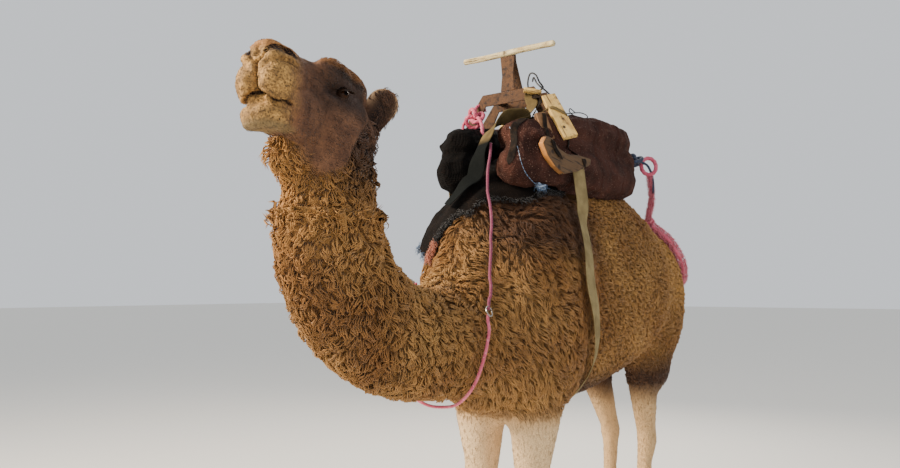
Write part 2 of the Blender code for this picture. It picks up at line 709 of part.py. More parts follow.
def leaning_board(name, top, foot, across, width, thickness):
    """A board between the middles of its two ends, its width lying along across."""
    out = (Vector(foot) - Vector(top)).cross(Vector(across))
    return sweep(name, [top, foot], [out] * 2, BOX_SECTION, (width / 2, thickness / 2))


PALE_BOARD = ((0.181, 0.006, 2.116), (0.277, -0.008, 1.948), (0.585, 0.766, 0.266))
BROWN_BOARD = ((0.180, -0.058, 2.038), (0.216, -0.056, 1.938), (0.50, 0.85, 0.0))
PADDLE = (
    # Outline of the curved side board: distance back from its front end, z
    (0.018, 1.940), (0.000, 1.911), (0.022, 1.870), (0.058, 1.836), (0.102, 1.814),
    (0.178, 1.832), (0.240, 1.860), (0.244, 1.884), (0.178, 1.890), (0.120, 1.888),
    (0.078, 1.903), (0.046, 1.935),
)
BOARD_SIDES = (
    # side, how far back its boards are lashed, the paddle's front end x, its turn in degrees
    ("left", 1, 0.0, 0.222, 18),
    ("right", -1, RIGHT_BOARDS_BACK, 0.300, 0),
)


def make_boards():
    """Wooden boards lashed to the saddle on each side: a pale one, a brown one and a paddle."""
    boards = []
    for where, side, back, paddle_x, turn in BOARD_SIDES:
        flip = Matrix.Diagonal((side, 1, 1))
        shift = Vector((0, back, 0))
        for kind, (top, foot, across), width, thickness in (
                ("pale", PALE_BOARD, 0.054, 0.018), ("brown", BROWN_BOARD, 0.042, 0.018)):
            ends = [flip @ Vector(end) + shift for end in (top, foot)]
            boards.append(leaning_board(f"board_{kind}_{where}", *ends, flip @ Vector(across),
                                        width, thickness))
        lean = Matrix.Rotation(math.radians(-turn * side), 4, "Z")
        upright_face = Matrix(((0, 0, side, 0), (1, 0, 0, 0), (0, 1, 0, 0), (0, 0, 0, 1)))
        place = Matrix.Translation((paddle_x * side, PADDLE_FRONT_Y + back, 0)) @ lean
        boards.append(plate(f"board_paddle_{where}", PADDLE, PADDLE_THICKNESS,
                            place @ upright_face))
    return boards


def ring_piece(name, centre, normal, major, minor, stretch=1.0, sides=6, steps=12):
    """A closed ring of rope or wire, its longer way upright where it is stretched."""
    normal = Vector(normal).normalized()
    across = Vector((0, 0, 1)).cross(normal).normalized()
    up = normal.cross(across)
    points, faces = [], []
    for i in range(steps):
        a = 2 * math.pi * i / steps
        out = across * math.cos(a) + up * math.sin(a)
        spine = across * math.cos(a) * major + up * math.sin(a) * major * stretch
        for j in range(sides):
            b = 2 * math.pi * j / sides
            points.append(Vector(centre) + spine + out * minor * math.cos(b)
                          + normal * minor * math.sin(b))
            k, m = (i + 1) % steps, (j + 1) % sides
            faces.append((i * sides + j, k * sides + j, k * sides + m, i * sides + m))
    return solid_from(name, points, faces)


CRUPPER_RING = (0.232, 0.925, 1.985)      # the eye of thick rope behind the rolls
CRUPPER_ROPE = (
    (0.236, 0.932, 1.934), (0.232, 0.955, 1.885), (0.221, 0.985, 1.832), (0.199, 1.009, 1.768),
)


def make_ties(surface, rolls):
    """The small rope work: the knot on the frame, the clip, the rear eye and its knot."""
    knot = ball_piece("knot_pink", (-0.132, FRAME_Y[0] - 0.032, 2.075), (0.042, 0.026, 0.040),
                      9, 7)
    hit, normal, _, _ = surface.find_nearest(Vector(CLIP_PLACE))
    ring_piece("breast_clip", hit + normal * 0.008, normal, 0.010, 0.0025, 1.7)
    ring_piece("crupper_ring", CRUPPER_RING, (0.55, -0.80, 0.15), 0.034, 0.0085)
    sweep("crupper_rope_left", CRUPPER_ROPE, [(1, 0, 0)] * 4, round_section(6),
          (0.007, 0.007))
    start = Vector(CRUPPER_ROPE[-1]) * Vector((-1, 1, 1))
    along = (Vector((-0.190, 0.800, 1.875)) - start).normalized()
    end = surface.ray_cast(start, along)[0] - along * 0.008
    sweep("crupper_rope_right", [start, end], [(1, 0, 0)] * 2, round_section(6),
          (0.007, 0.007))
    navy = ball_piece("knot_navy", (0.180, 0.876, 2.012), (0.042, 0.034, 0.029), 9, 7)
    for form in rolls:
        combine(navy, form, "DIFFERENCE")
        combine(knot, form, "DIFFERENCE")


MATERIALS = {
    # name of the finish: colour, roughness, metallic
    "wool_brown": ((0.38, 0.20, 0.075), 0.95, 0.0),
    "short_coat_cream": ((0.62, 0.46, 0.27), 0.90, 0.0),
    "eye_dark": ((0.012, 0.008, 0.006), 0.08, 0.0),
    "nail_horn": ((0.10, 0.075, 0.055), 0.50, 0.0),
    "cloth_dark": ((0.035, 0.028, 0.030), 0.95, 0.0),
    "cloth_maroon": ((0.085, 0.045, 0.045), 0.90, 0.0),
    "iron_rusty": ((0.16, 0.070, 0.035), 0.85, 0.6),
    "wood_pale": ((0.60, 0.44, 0.22), 0.75, 0.0),
    "wood_brown": ((0.30, 0.16, 0.07), 0.75, 0.0),
    "webbing_khaki": ((0.24, 0.18, 0.10), 0.90, 0.0),
    "rope_pink": ((0.72, 0.11, 0.16), 0.80, 0.0),
    "cord_navy": ((0.03, 0.04, 0.12), 0.85, 0.0),
    "steel_clip": ((0.55, 0.55, 0.55), 0.35, 1.0),
}
FINISHES = (
    # how a node's name begins, and its finish; the first that fits is taken
    ("foreleg", "short_coat_cream"), ("hindleg", "short_coat_cream"),
    ("eye_", "eye_dark"), ("nail_", "nail_horn"), ("saddle_cloth", "cloth_dark"),
    ("cushion", "cloth_maroon"), ("frame", "iron_rusty"), ("grip", "wood_pale"),
    ("board_pale", "wood_pale"), ("board", "wood_brown"), ("girth", "webbing_khaki"),
    ("breast_band", "webbing_khaki"), ("breast_clip", "steel_clip"),
    ("breast_rope", "rope_pink"), ("crupper", "rope_pink"), ("knot_pink", "rope_pink"),
    ("knot_navy", "cord_navy"), ("", "wool_brown"),
)


def finish_all():
    """Gives every object its own material and sets the whole on its origin."""
    for obj in bpy.data.objects:
        finish = next(kind for start, kind in FINISHES if obj.name.startswith(start))
        color, roughness, metallic = MATERIALS[finish]
        material = bpy.data.materials.new(f"{finish}_{obj.name}")
        material.use_nodes = True
        shader = material.node_tree.nodes["Principled BSDF"]
        shader.inputs["Base Color"].default_value = (*color, 1)
        shader.inputs["Roughness"].default_value = roughness
        shader.inputs["Metallic"].default_value = metallic
        obj.data.materials.clear()
        obj.data.materials.append(material)
    corners = np.array([tuple(v.co) for obj in bpy.data.objects for v in obj.data.vertices])
    low, high = corners.min(axis=0), corners.max(axis=0)
    middle = Vector((-(low[0] + high[0]) / 2, -(low[1] + high[1]) / 2, 0))
    for obj in bpy.data.objects:
        obj.data.transform(Matrix.Translation(middle))


def main():
    clear_scene()
    flesh = blended_flesh()
    apply_modifiers(flesh)
    thin_out(flesh, FLESH_TRIANGLES)
    skin = half_space(flesh, (0, 0, 0), (0, 0, -1), "skin")
    remove(flesh)
    skin_form = swollen(skin, FIT_GAP * 2)
    body = surface_of([skin])
    make_nails(skin_form)
    make_ears(skin_form)

    cloth = cloth_shell("saddle_cloth", body)
    cloth_form = swollen(cloth, FIT_GAP * 1.8)
    combine(cloth, skin_form, "DIFFERENCE")
    bearing = [skin_form, cloth_form]
    make_frame()
    for y in FRAME_Y:
        bearing.append(make_arch("arch_form", y, FIT_GAP * 1.5))
    bearing += [swollen(board, FIT_GAP * 1.8) for board in make_boards()]
    lower = make_roll("cushion_lower", ROLL_LOWER, bearing)
    lower_form = swollen(lower, FIT_GAP)
    upper = make_roll("cushion_upper", ROLL_UPPER, [*bearing, lower_form])
    upper_form = swollen(upper, FIT_GAP)
    dressed = surface_of([skin, cloth, lower, upper])

    web("girth_strap", mirrored(GIRTH), dressed, (0, 0.17, 1.45), GIRTH_WIDTH, 53)
    rump = half_space(skin, (0, 1.462, 1.5), (0, 1, 0), "rump")
    web("crupper_band", mirrored(CRUPPER), surface_of([rump]), (0, 1.10, 1.52),
        CRUPPER_WIDTH, 45)
    remove(rump)
    web("breast_band", BREAST_BAND, dressed, (0, -0.10, 1.45), BREAST_WIDTH, 29,
        LAID_GAP * 2.8)
    rope("breast_rope_upper", BREAST_ROPE_UPPER, dressed, (0, -0.20, 1.45), ROPE_RADIUS, 19)
    rope("breast_rope_lower", BREAST_ROPE_LOWER, dressed, (0, -0.35, 1.30), ROPE_RADIUS, 31)
    make_ties(dressed, [lower_form, upper_form])
    for helper in [*bearing, lower_form, upper_form]:
        remove(helper)
    pieces = part_flesh(skin)
    make_eyes(pieces[0])
    finish_all()


main()
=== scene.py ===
"""A life-size still dromedary in its saddle gear: skin, wool, tack, floor, light and camera."""
import contextlib
import itertools
import math

import bmesh
import bpy
import numpy as np
from mathutils import Matrix, Vector
from mathutils.bvhtree import BVHTree
from mathutils.kdtree import KDTree


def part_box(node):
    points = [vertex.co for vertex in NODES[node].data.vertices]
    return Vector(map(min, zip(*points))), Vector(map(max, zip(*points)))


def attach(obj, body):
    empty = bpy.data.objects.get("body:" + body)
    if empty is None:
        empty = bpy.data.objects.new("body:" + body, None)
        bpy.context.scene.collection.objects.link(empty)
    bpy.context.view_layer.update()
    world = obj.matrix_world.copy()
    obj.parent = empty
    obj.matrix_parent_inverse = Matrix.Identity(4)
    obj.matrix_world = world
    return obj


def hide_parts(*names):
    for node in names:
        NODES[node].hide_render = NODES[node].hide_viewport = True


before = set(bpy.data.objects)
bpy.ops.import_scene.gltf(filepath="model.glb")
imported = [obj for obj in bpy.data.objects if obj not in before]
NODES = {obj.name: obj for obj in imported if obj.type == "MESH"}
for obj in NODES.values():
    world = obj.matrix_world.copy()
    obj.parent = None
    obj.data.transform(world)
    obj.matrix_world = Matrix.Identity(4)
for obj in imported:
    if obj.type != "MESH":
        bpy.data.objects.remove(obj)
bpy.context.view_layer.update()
DRAWS = np.random.default_rng(7)
FULL_TURN = 6.283            # in radians


# ---------------------------------------------------------------- small tools

def linear(code):
    """An sRGB hex colour as linear red, green, blue and alpha."""
    parts = np.array([int(code[i:i + 2], 16) for i in (1, 3, 5)]) / 255
    return (*np.where(parts <= 0.04045, parts / 12.92, ((parts + 0.055) / 1.055) ** 2.4), 1.0)


def ramp(x, low, high):
    """0 below low, 1 above high, and a smooth S between; low may be the larger."""
    t = np.clip((x - low) / (high - low), 0, 1)
    return t * t * (3 - 2 * t)


def bell(x, width):
    """1 at nought, falling both ways as e to the minus (x over the width) squared."""
    return np.exp(-(x / width) ** 2)


def unit(vectors):
    return vectors / np.maximum(np.linalg.norm(vectors, axis=-1, keepdims=True), 1e-9)


SCATTER = np.array((73856093, 19349663, 83492791))      # large primes, one for each axis


def noise(points, size, seed):
    """Smooth values from -1 to 1: a random value at each corner of cubes of this size."""
    scaled = points / size
    cell = np.floor(scaled).astype(np.int64)
    part = scaled - cell
    part = part * part * (3 - 2 * part)
    total = np.zeros(len(points))
    for corner in itertools.product((0, 1), repeat=3):
        mixed = np.bitwise_xor.reduce((cell + corner) * SCATTER, axis=1) ^ seed * 7919
        mixed = (mixed ^ (mixed >> 13)) * 1274126177 & 0x7FFFFFFF
        value = (mixed ^ (mixed >> 16)) % 65536 / 32767.5 - 1
        total += value * np.prod(np.where(corner, part, 1 - part), axis=1)
    return total


def flat32(values):
    return np.ascontiguousarray(values, np.float32).ravel()


def mesh_from(points, faces):
    """A smooth-shaded mesh from arrays; the faces all have as many corners."""
    mesh = bpy.data.meshes.new("mesh")
    faces = np.ascontiguousarray(faces, np.int32)
    mesh.vertices.add(len(points))
    mesh.vertices.foreach_set("co", flat32(points))
    mesh.loops.add(faces.size)
    mesh.loops.foreach_set("vertex_index", faces.ravel())
    mesh.polygons.add(len(faces))
    mesh.polygons.foreach_set("loop_start", np.arange(0, faces.size, faces.shape[1]))
    mesh.update(calc_edges=True)
    mesh.shade_smooth()
    return mesh


@contextlib.contextmanager
def working(*sources):
    """A new mesh, and the bmesh that it is made from, which starts with all the sources."""
    mesh, bm = bpy.data.meshes.new("mesh"), bmesh.new()
    for source in sources:
        bm.from_mesh(source)
    yield mesh, bm
    bm.to_mesh(mesh)
    bm.free()


def joined(*meshes):
    with working(*meshes) as (mesh, _):
        return mesh


def object_from(name, mesh, material=None):
    mesh.name = name
    obj = bpy.data.objects.new(name, mesh)
    bpy.context.scene.collection.objects.link(obj)
    if material:
        mesh.materials.append(material)
    return obj


def added(name, mesh, material):
    """A new piece, which rides on the animal, with the given material."""
    obj = object_from(name, mesh, material)
    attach(obj, "root")
    return obj


def finished(name, mesh, material, *nodes):
    """A new piece that stands for CAD nodes, which it hides."""
    obj = added(name, mesh, material)
    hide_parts(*nodes)
    return obj


def read(items, key, size, kind=np.float32):
    """One property of a mesh's points, edges or faces, as an array with a row for each."""
    values = np.empty(len(items) * size, kind)
    items.foreach_get(key, values)
    return values.reshape(-1, size)


def points_of(mesh):
    return read(mesh.vertices, "co", 3).astype(float)


def set_points(mesh, points):
    mesh.vertices.foreach_set("co", flat32(points))
    mesh.update()


def edges_of(mesh):
    return read(mesh.edges, "vertices", 2, np.int32)


def triangles_of(mesh):
    mesh.calc_loop_triangles()
    return read(mesh.loop_triangles, "vertices", 3, np.int32)


def add_values(mesh, **values):
    """Named values for each point: numbers, or vectors where a row holds three."""
    for name, value in values.items():
        kind, key = (("FLOAT_VECTOR", "vector") if np.size(value) == 3 * len(mesh.vertices)
                     else ("FLOAT", "value"))
        mesh.attributes.new(name, kind, "POINT").data.foreach_set(key, flat32(value))


def tree_from(points, faces):
    return BVHTree.FromPolygons(points.tolist(), faces.tolist())


def normals_of(points, triangles):
    """Unit normals at the points: the sum of the faces' area vectors round each."""
    a, b, c = (points[triangles[:, i]] for i in range(3))
    area = np.cross(b - a, c - a)
    total = np.zeros_like(points)
    for axis in range(3):
        for corner in range(3):
            total[:, axis] += np.bincount(triangles[:, corner], area[:, axis], len(points))
    return unit(total)


def averaged(values, ends, rounds, amount=0.5):
    """Each value moves towards the mean of its neighbours' along the edges, rounds times."""
    values = values.copy()
    flat = values.reshape(len(values), -1)
    count = np.bincount(ends.ravel(), minlength=len(values))
    for _ in range(rounds):
        for column in range(flat.shape[1]):
            total = np.bincount(ends[:, 0], flat[ends[:, 1], column], len(values))
            total += np.bincount(ends[:, 1], flat[ends[:, 0], column], len(values))
            flat[:, column] += amount * (total / np.maximum(count, 1) - flat[:, column])
    return values


def evened(points, ends, rounds):
    """Smooths without shrinking: a step towards the neighbours' mean, then one back."""
    for _ in range(rounds):
        points = averaged(points, ends, 1, 0.55)
        points = averaged(points, ends, 1, -0.57)
    return points


def tree_of(*names):
    """One tree for nearest-point and ray tests on several CAD nodes."""
    points, faces = [], []
    for name in names:
        faces.append(triangles_of(NODES[name].data) + sum(map(len, points)))
        points.append(points_of(NODES[name].data))
    return tree_from(np.vstack(points), np.vstack(faces))


# ------------------------------------------------------------ node materials

WAVE = 0.314159          # metres between the bands of a wave texture at scale 1


def add(material, kind, out=0, **settings):
    """Adds a node and returns one of its outputs, the first unless another is asked for.

    A setting that names an input sets it or links it, the others are the node's own.
    """
    tree = material.node_tree
    node = tree.nodes.new("ShaderNode" + kind)
    inputs = {}
    for name, value in settings.items():
        if hasattr(node, name) and not isinstance(value, bpy.types.NodeSocket):
            setattr(node, name, value)
        else:
            inputs[name] = value
    for name, value in inputs.items():
        place = int(name[1:]) if name[0] == "i" and name[1:].isdigit() else name.replace("_", " ")
        if isinstance(value, bpy.types.NodeSocket):
            tree.links.new(value, node.inputs[place])
        else:
            node.inputs[place].default_value = value
    return node.outputs[out]


def shader(name, color="#808080", **values):
    """A material with the values that are the same all over it, and its place socket."""
    material = bpy.data.materials.new(name)
    material.use_nodes = True
    base = material.node_tree.nodes["Principled BSDF"].inputs
    base["Base Color"].default_value = linear(color)
    for key, value in values.items():
        base[key.replace("_", " ")].default_value = value
    return material, add(material, "TexCoord", "Object")


def dressed(material, color, *heights):
    """Links the colour, and bump from pairs of a height socket and its depth in metres."""
    base = material.node_tree.nodes["Principled BSDF"].inputs
    links = {"Base Color": color}
    for height, depth in heights:
        below = {"Normal": links["Normal"]} if "Normal" in links else {}
        links["Normal"] = add(material, "Bump", Height=height, Distance=depth, **below)
    for name, socket in links.items():
        material.node_tree.links.new(socket, base[name])
    return material


def patches(material, where, size, low=0.4, high=0.6, detail=2.0):
    """0 to 1 in patches of about this size in metres: a cloud, cut between low and high."""
    cloud = add(material, "TexNoise", Vector=where, Scale=1 / size, Detail=detail)
    return add(material, "MapRange", Value=cloud, From_Min=low, From_Max=high)


def paint(material, below, above, *masks):
    """One colour laid over another where all the masks are 1; a colour is hex or a socket."""
    factor = masks[0]
    for mask in masks[1:]:
        factor = add(material, "Math", operation="MULTIPLY", i0=factor, i1=mask)
    below, above = (linear(c) if isinstance(c, str) else c for c in (below, above))
    return add(material, "Mix", 2, data_type="RGBA", i0=factor, i6=below, i7=above)


# ------------------------------------------------------- the animal's own axes

HEAD_PITCH = math.radians(3)
HEAD_YAW = math.radians(13)
EYE_FORWARD, EYE_DROP = 0.164, 0.031      # from the poll to the middle of the eyes


def middle(node):
    low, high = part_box(node)
    return (np.array(low) + np.array(high)) / 2


def head_frame():
    """Turns head coordinates (X left, -Y to the nose, Z up, from the poll) into the world's."""
    turn = np.array(Matrix.Rotation(HEAD_YAW, 3, "Z") @ Matrix.Rotation(-HEAD_PITCH, 3, "X"))
    between = (middle("eye_left") + middle("eye_right")) / 2
    poll = between - turn @ np.array((0, -EYE_FORWARD, -EYE_DROP))
    return turn, poll


SHIFT = middle("grip_bar") - (0, 0.030, 2.318)    # from the saddle's own axes to the world's


def placed(points):
    """The world's metres from millimetres in the saddle's own axes, over the forefeet."""
    return np.asarray(points, float) / 1000 + SHIFT


HEAD_TURN, POLL = head_frame()
EYE_SIDE = np.linalg.norm(middle("eye_left") - middle("eye_right")) / 2


def to_head(points):
    return (points - POLL) @ HEAD_TURN


def from_head(points):
    return np.asarray(points) @ HEAD_TURN.T + POLL


# ------------------------------------------------------------------- the skin

BODY_VOXEL = 0.0192
HEAD_VOXEL = 0.0046
LEGS = ("foreleg_left", "foreleg_right", "hindleg_left", "hindleg_right")
BODY_FLESH = ("neck", "trunk", "hump", "tail", *LEGS)
HEAD_MASSES = (
    # middle, half sizes, then pitch, yaw and roll in degrees; away from X 0 it is a pair
    ((0, -90, 0), (80, 108, 80)),                   # cranium
    ((52, -182, 14), (34, 84, 39), 0, 6, 0),        # brow over the eye
    ((0, -245, -17), (60, 155, 56), 3, 0, 0),       # bridge of the nose
    ((0, -230, -85), (60, 120, 70)),                # side of the face
    ((0, -345, -40), (70, 82, 80)),                 # muzzle
    ((0, -376, 5), (43, 46, 36)),                   # nose tip
    ((34, -383, -70), (38, 46, 56), 0, 0, 8),       # the two lobes of the upper lip
    ((0, -380, -70), (34, 40, 54)),                 # between the lobes
    ((27, -399, -12), (28, 27, 28)),                # below the nostril
    ((0, -336, 3), (44, 62, 37)),                   # bridge behind the nostrils
    ((0, -372, -149), (60, 60, 41), 10, 0, 0),      # lower lip and chin
    ((0, -265, -135), (55, 155, 50), 6, 0, 0),      # lower jaw
    ((50, -105, -105), (47, 110, 105), -12, 0, 0),  # cheek
    ((40, -285, -100), (27, 90, 52)),               # side of the mouth
    ((56, -160, -4), (29, 50, 17)),                 # socket's upper edge
    ((52, -175, -62), (28, 70, 20), -10, 0, 0),     # cheekbone below the eye
    ((0, -60, -120), (85, 110, 150)),               # throat
)
THROAT = to_head(placed((0, -1055, 1745)))          # wool under the jaw
THROAT_SIZES = (0.073, 0.085, 0.076)
SWELL = 0.0009           # how far solids are swollen so that they overlap


def flesh_mesh(names, swell):
    """The nodes' solids in one mesh, merged and swollen a little so that they overlap."""
    parts = []
    for name in names:
        with working(NODES[name].data) as (part, bm):
            bmesh.ops.remove_doubles(bm, verts=bm.verts, dist=1e-5)
            bm.normal_update()
            for v in bm.verts:
                v.co += v.normal * swell
        parts.append(part)
    return joined(*parts)


def add_ball(bm, middle, sizes, turn=None, fineness=5):
    place = Matrix.LocRotScale(Vector(middle), turn, Vector(sizes))
    bmesh.ops.create_icosphere(bm, subdivisions=fineness, radius=1, matrix=place)


def head_masses():
    """Each mass of the head as a ball stretched to its half sizes and set in head axes."""
    with working() as (mesh, bm):
        for middle, sizes, *turns in HEAD_MASSES:
            pitch, yaw, roll = map(math.radians, turns or (0, 0, 0))
            for side in ((1,) if middle[0] == 0 else (1, -1)):
                turn = (Matrix.Rotation(yaw * side, 3, "Z") @ Matrix.Rotation(pitch, 3, "X")
                        @ Matrix.Rotation(roll * side, 3, "Y"))
                add_ball(bm, np.multiply(middle, (side, 1, 1)) / 1000, np.array(sizes) / 1000,
                         turn.to_quaternion())
        add_ball(bm, THROAT, THROAT_SIZES)
    set_points(mesh, from_head(points_of(mesh)))
    return mesh


def remeshed(mesh, voxel):
    """One closed surface round everything in the mesh, in squares of this size."""
    obj = object_from("work", mesh)
    step = obj.modifiers.new("remesh", "REMESH")
    step.mode = "VOXEL"
    step.voxel_size = voxel
    result = bpy.data.meshes.new_from_object(
        obj.evaluated_get(bpy.context.evaluated_depsgraph_get()))
    bpy.data.objects.remove(obj)
    return result


def trimmed(mesh, where, normal):
    """Cuts away what lies on the normal's side of a plane and closes the cut."""
    with working(mesh) as (cut, bm):
        found = bmesh.ops.bisect_plane(bm, geom=[*bm.verts, *bm.edges, *bm.faces], dist=1e-6,
                                       plane_co=where, plane_no=normal, clear_outer=True)
        rim = [e for e in found["geom_cut"] if isinstance(e, bmesh.types.BMEdge)]
        bmesh.ops.holes_fill(bm, edges=rim, sides=0)
        bmesh.ops.triangulate(bm, faces=[f for f in bm.faces if len(f.verts) > 4])
    return cut


def refined(mesh, chosen):
    """Splits each face whose corners are all chosen into four."""
    with working(mesh) as (fine, bm):
        bm.verts.ensure_lookup_table()
        mark = chosen(points_of(mesh))
        edges = {e for f in bm.faces if all(mark[v.index] for v in f.verts) for e in f.edges}
        bmesh.ops.subdivide_edges(bm, edges=list(edges), cuts=1, use_grid_fill=True)
        bmesh.ops.triangulate(bm, faces=[f for f in bm.faces if len(f.verts) > 4])
    return fine


def is_leg(points):
    return points[:, 2] < 0.86


def is_fine_face(points):
    """The muzzle, and a patch round each eye."""
    local = to_head(points)
    mirrored = np.abs(local[:, 0])
    eye = (mirrored - EYE_SIDE) ** 2 + (local[:, 1] + EYE_FORWARD) ** 2
    eye += (local[:, 2] + EYE_DROP) ** 2
    return (local[:, 1] < -0.315) | (eye < 0.038 ** 2)


NECK_CUT = 1.58          # the head's mesh goes down to here, inside the body's wool
NECK_TOP = 1.68          # the body's mesh is sunk from here up, inside the head's


JAW_FORWARD = (0.03, 0.11, 0.13, 0.15, 0.185, 0.25, 0.30, 0.36, 0.42)
JAW_HEIGHT = (-0.06, -0.136, -0.193, -0.225, -0.243, -0.203, -0.180, -0.182, -0.195)


def in_jaw_area(local):
    """1 where the face's short fur lies, 0 in the wool; in head axes."""
    forward, height = -local[:, 1], local[:, 2]
    low_edge = np.interp(forward, JAW_FORWARD, JAW_HEIGHT)
    face = ramp(height, low_edge - 0.018, low_edge + 0.018)
    off_throat = ramp(np.linalg.norm((local - THROAT) / THROAT_SIZES, axis=1), 1.00, 1.16)
    face = face * np.maximum(off_throat, ramp(local[:, 0], -0.025, 0.025))
    return face * ramp(forward, -0.045, 0.0)


def on_head(points):
    """1 on the head and the upper neck, 0 elsewhere; in world axes."""
    return ramp(points[:, 2], 1.58, 1.64) * ramp(points[:, 1], -0.80, -0.90)


def face_share(points):
    """1 where the face's short fur lies, 0 in the wool; in world axes."""
    return on_head(points) * in_jaw_area(to_head(points))


def coat_depth(points):
    """How far the skin lies below the tips of the coat, in metres, by place."""
    local = to_head(points)
    y, z = points[:, 1], points[:, 2]
    wool = 0.030 + 0.006 * ramp(y, -0.75, -0.45) * ramp(z, 1.02, 1.2)
    for share, depth in ((ramp(y, 0.02, 0.16), 0.020),                           # flank
                         (ramp(y, 0.75, 0.95), 0.017),                           # rump
                         (ramp(z, 1.22, 1.02) * ramp(y, -0.05, 0.10), 0.010)):   # belly
        wool += share * (depth - wool)
    fore = ramp(y, 0.05, -0.02)
    off_legs = fore * ramp(z, 0.94, 1.06) + (1 - fore) * ramp(z, 0.80, 1.10)
    wool = 0.0035 + (wool - 0.0035) * off_legs
    crown = ramp(local[:, 1], -0.14, -0.06) * ramp(local[:, 2], 0.02, 0.07)
    ear = ramp(np.abs(local[:, 0]), 0.076, 0.086) * ramp(local[:, 1], -0.050, -0.030)
    ear = ear * ramp(local[:, 2], -0.150, -0.120)
    for share, depth in ((ramp(y, 1.24, 1.30) * ramp(z, 1.50, 1.40), 0.008),     # tail
                         (face_share(points), 0.0022 + 0.006 * crown),
                         (on_head(points) * ear, 0.0025)):
        wool += share * (depth - wool)
    return wool * (1 - ramp(z, 0.030, 0.006))                                    # bare soles


def distance_to_path(points, path):
    """From each point to the nearest of the path's straight pieces, and how far along it."""
    best = np.full(len(points), 9.0)
    along = np.zeros(len(points))
    for i, (a, b) in enumerate(zip(path[:-1], path[1:])):
        step = b - a
        t = np.clip(((points - a) @ step) / (step @ step), 0, 1)
        far = np.linalg.norm(points - a - t[:, None] * step, axis=1)
        nearer = far < best
        best[nearer] = far[nearer]
        along[nearer] = (i + t[nearer]) / (len(path) - 1)
    return best, along


def snapped(path, local):
    """A path's line in short steps, each moved to the nearest point of the face."""
    line = spline(np.asarray(path, float), 0.006)
    near = local[np.abs(local - line.mean(axis=0)).max(axis=1) < 0.09]
    return np.array([near[np.argmin(((near - p) ** 2).sum(axis=1))] for p in line])


def bump_along(local, path, width, height, fade=0.15, both=True, bulge=0.0, power=2):
    """A ridge, or a groove for a minus height, along a path and the other side's copy of it.

    Its height falls off as e to the minus (distance over width) to the power; halfway along
    the path the width is wider by bulge.
    """
    total = np.zeros(len(local))
    for side in ((1, -1) if both else (1,)):
        line = snapped(np.array(path) * (side, 1, 1), local)
        far, along = distance_to_path(local, line)
        ends = ramp(along, -0.01, fade) * ramp(along, 1.01, 1 - fade)
        here = width + bulge * np.sin(np.clip(along, 0, 1) * math.pi)
        total += height * np.exp(-(far / here) ** power) * ends
    return total


NOSTRIL = np.array(((0.014, -0.424, -0.018), (0.030, -0.415, -0.003), (0.046, -0.395, 0.006),
                    (0.058, -0.368, 0.004), (0.064, -0.342, -0.006)))
LIP_LINE = np.array(((0.0, -0.425, -0.110), (0.020, -0.425, -0.113), (0.042, -0.406, -0.120),
                     (0.056, -0.378, -0.118), (0.060, -0.350, -0.112)))
PHILTRUM = ((0, -0.432, -0.020), (0, -0.434, -0.060), (0, -0.428, -0.106))
TO_NOSTRIL = ((0.003, -0.43, -0.030), (0.010, -0.426, -0.022), *NOSTRIL[:2])
LIP_GAP = ((-0.012, -0.43, -0.108), (0.012, -0.43, -0.108))
CHEEK_FOLD = np.array(((0.066, -0.312, -0.080), (0.066, -0.300, -0.104),
                       (0.060, -0.285, -0.126)))
FACE_FORMS = (
    # path, width, height, the share that its ends fade over, and whether it is on both sides
    (NOSTRIL + (0.006, 0, 0.0180), 0.0080, 0.0050, 0.4),            # wing over it
    (NOSTRIL[1:] + (0.003, 0, -0.0165), 0.0055, 0.0058, 0.45),      # fold under it
    (NOSTRIL[1:] + (0.003, 0, -0.0270), 0.0045, -0.0062, 0.45),     # crease below the fold
    (TO_NOSTRIL, 0.0040, -0.0060, 0.1),
    (PHILTRUM, 0.0046, -0.0150, 0.05, False),
    (((0, -0.42, 0.030), (0, -0.43, 0.004), (0, -0.43, -0.020)), 0.0075, -0.0050, 0.3, False),
    (((0.020, -0.43, -0.045), (0.021, -0.43, -0.095)), 0.016, 0.0045),  # lobes of the lip
    (LIP_LINE + (0, 0, 0.013), 0.0090, 0.0028),                     # upper lip
    (LIP_LINE + (0, 0, -0.016), 0.0100, 0.0040),                    # lower lip
    (LIP_LINE, 0.0044, -0.0110, 0.02),
    (LIP_GAP, 0.0075, -0.0130, 0.3, False),
    (((0, -0.42, -0.160), (0.038, -0.400, -0.158), (0.056, -0.35, -0.152)), 0.0090, -0.0022,
     0.02),                                                         # over the chin
)
CLEFTS = (
    # the same, then how much wider it is halfway and how steep its sides are
    (NOSTRIL, 0.0060, 1.0, 0.20, True, 0.0084, 4), (LIP_LINE, 0.0046, 1.0, 0.02),
    (LIP_GAP, 0.0070, 1.0, 0.3, False), (PHILTRUM, 0.0038, 1.0, 0.05, False),
    (TO_NOSTRIL, 0.0030, 0.8, 0.1), (NOSTRIL[1:] + (0.003, 0, -0.0275), 0.0034, 0.7, 0.45),
)


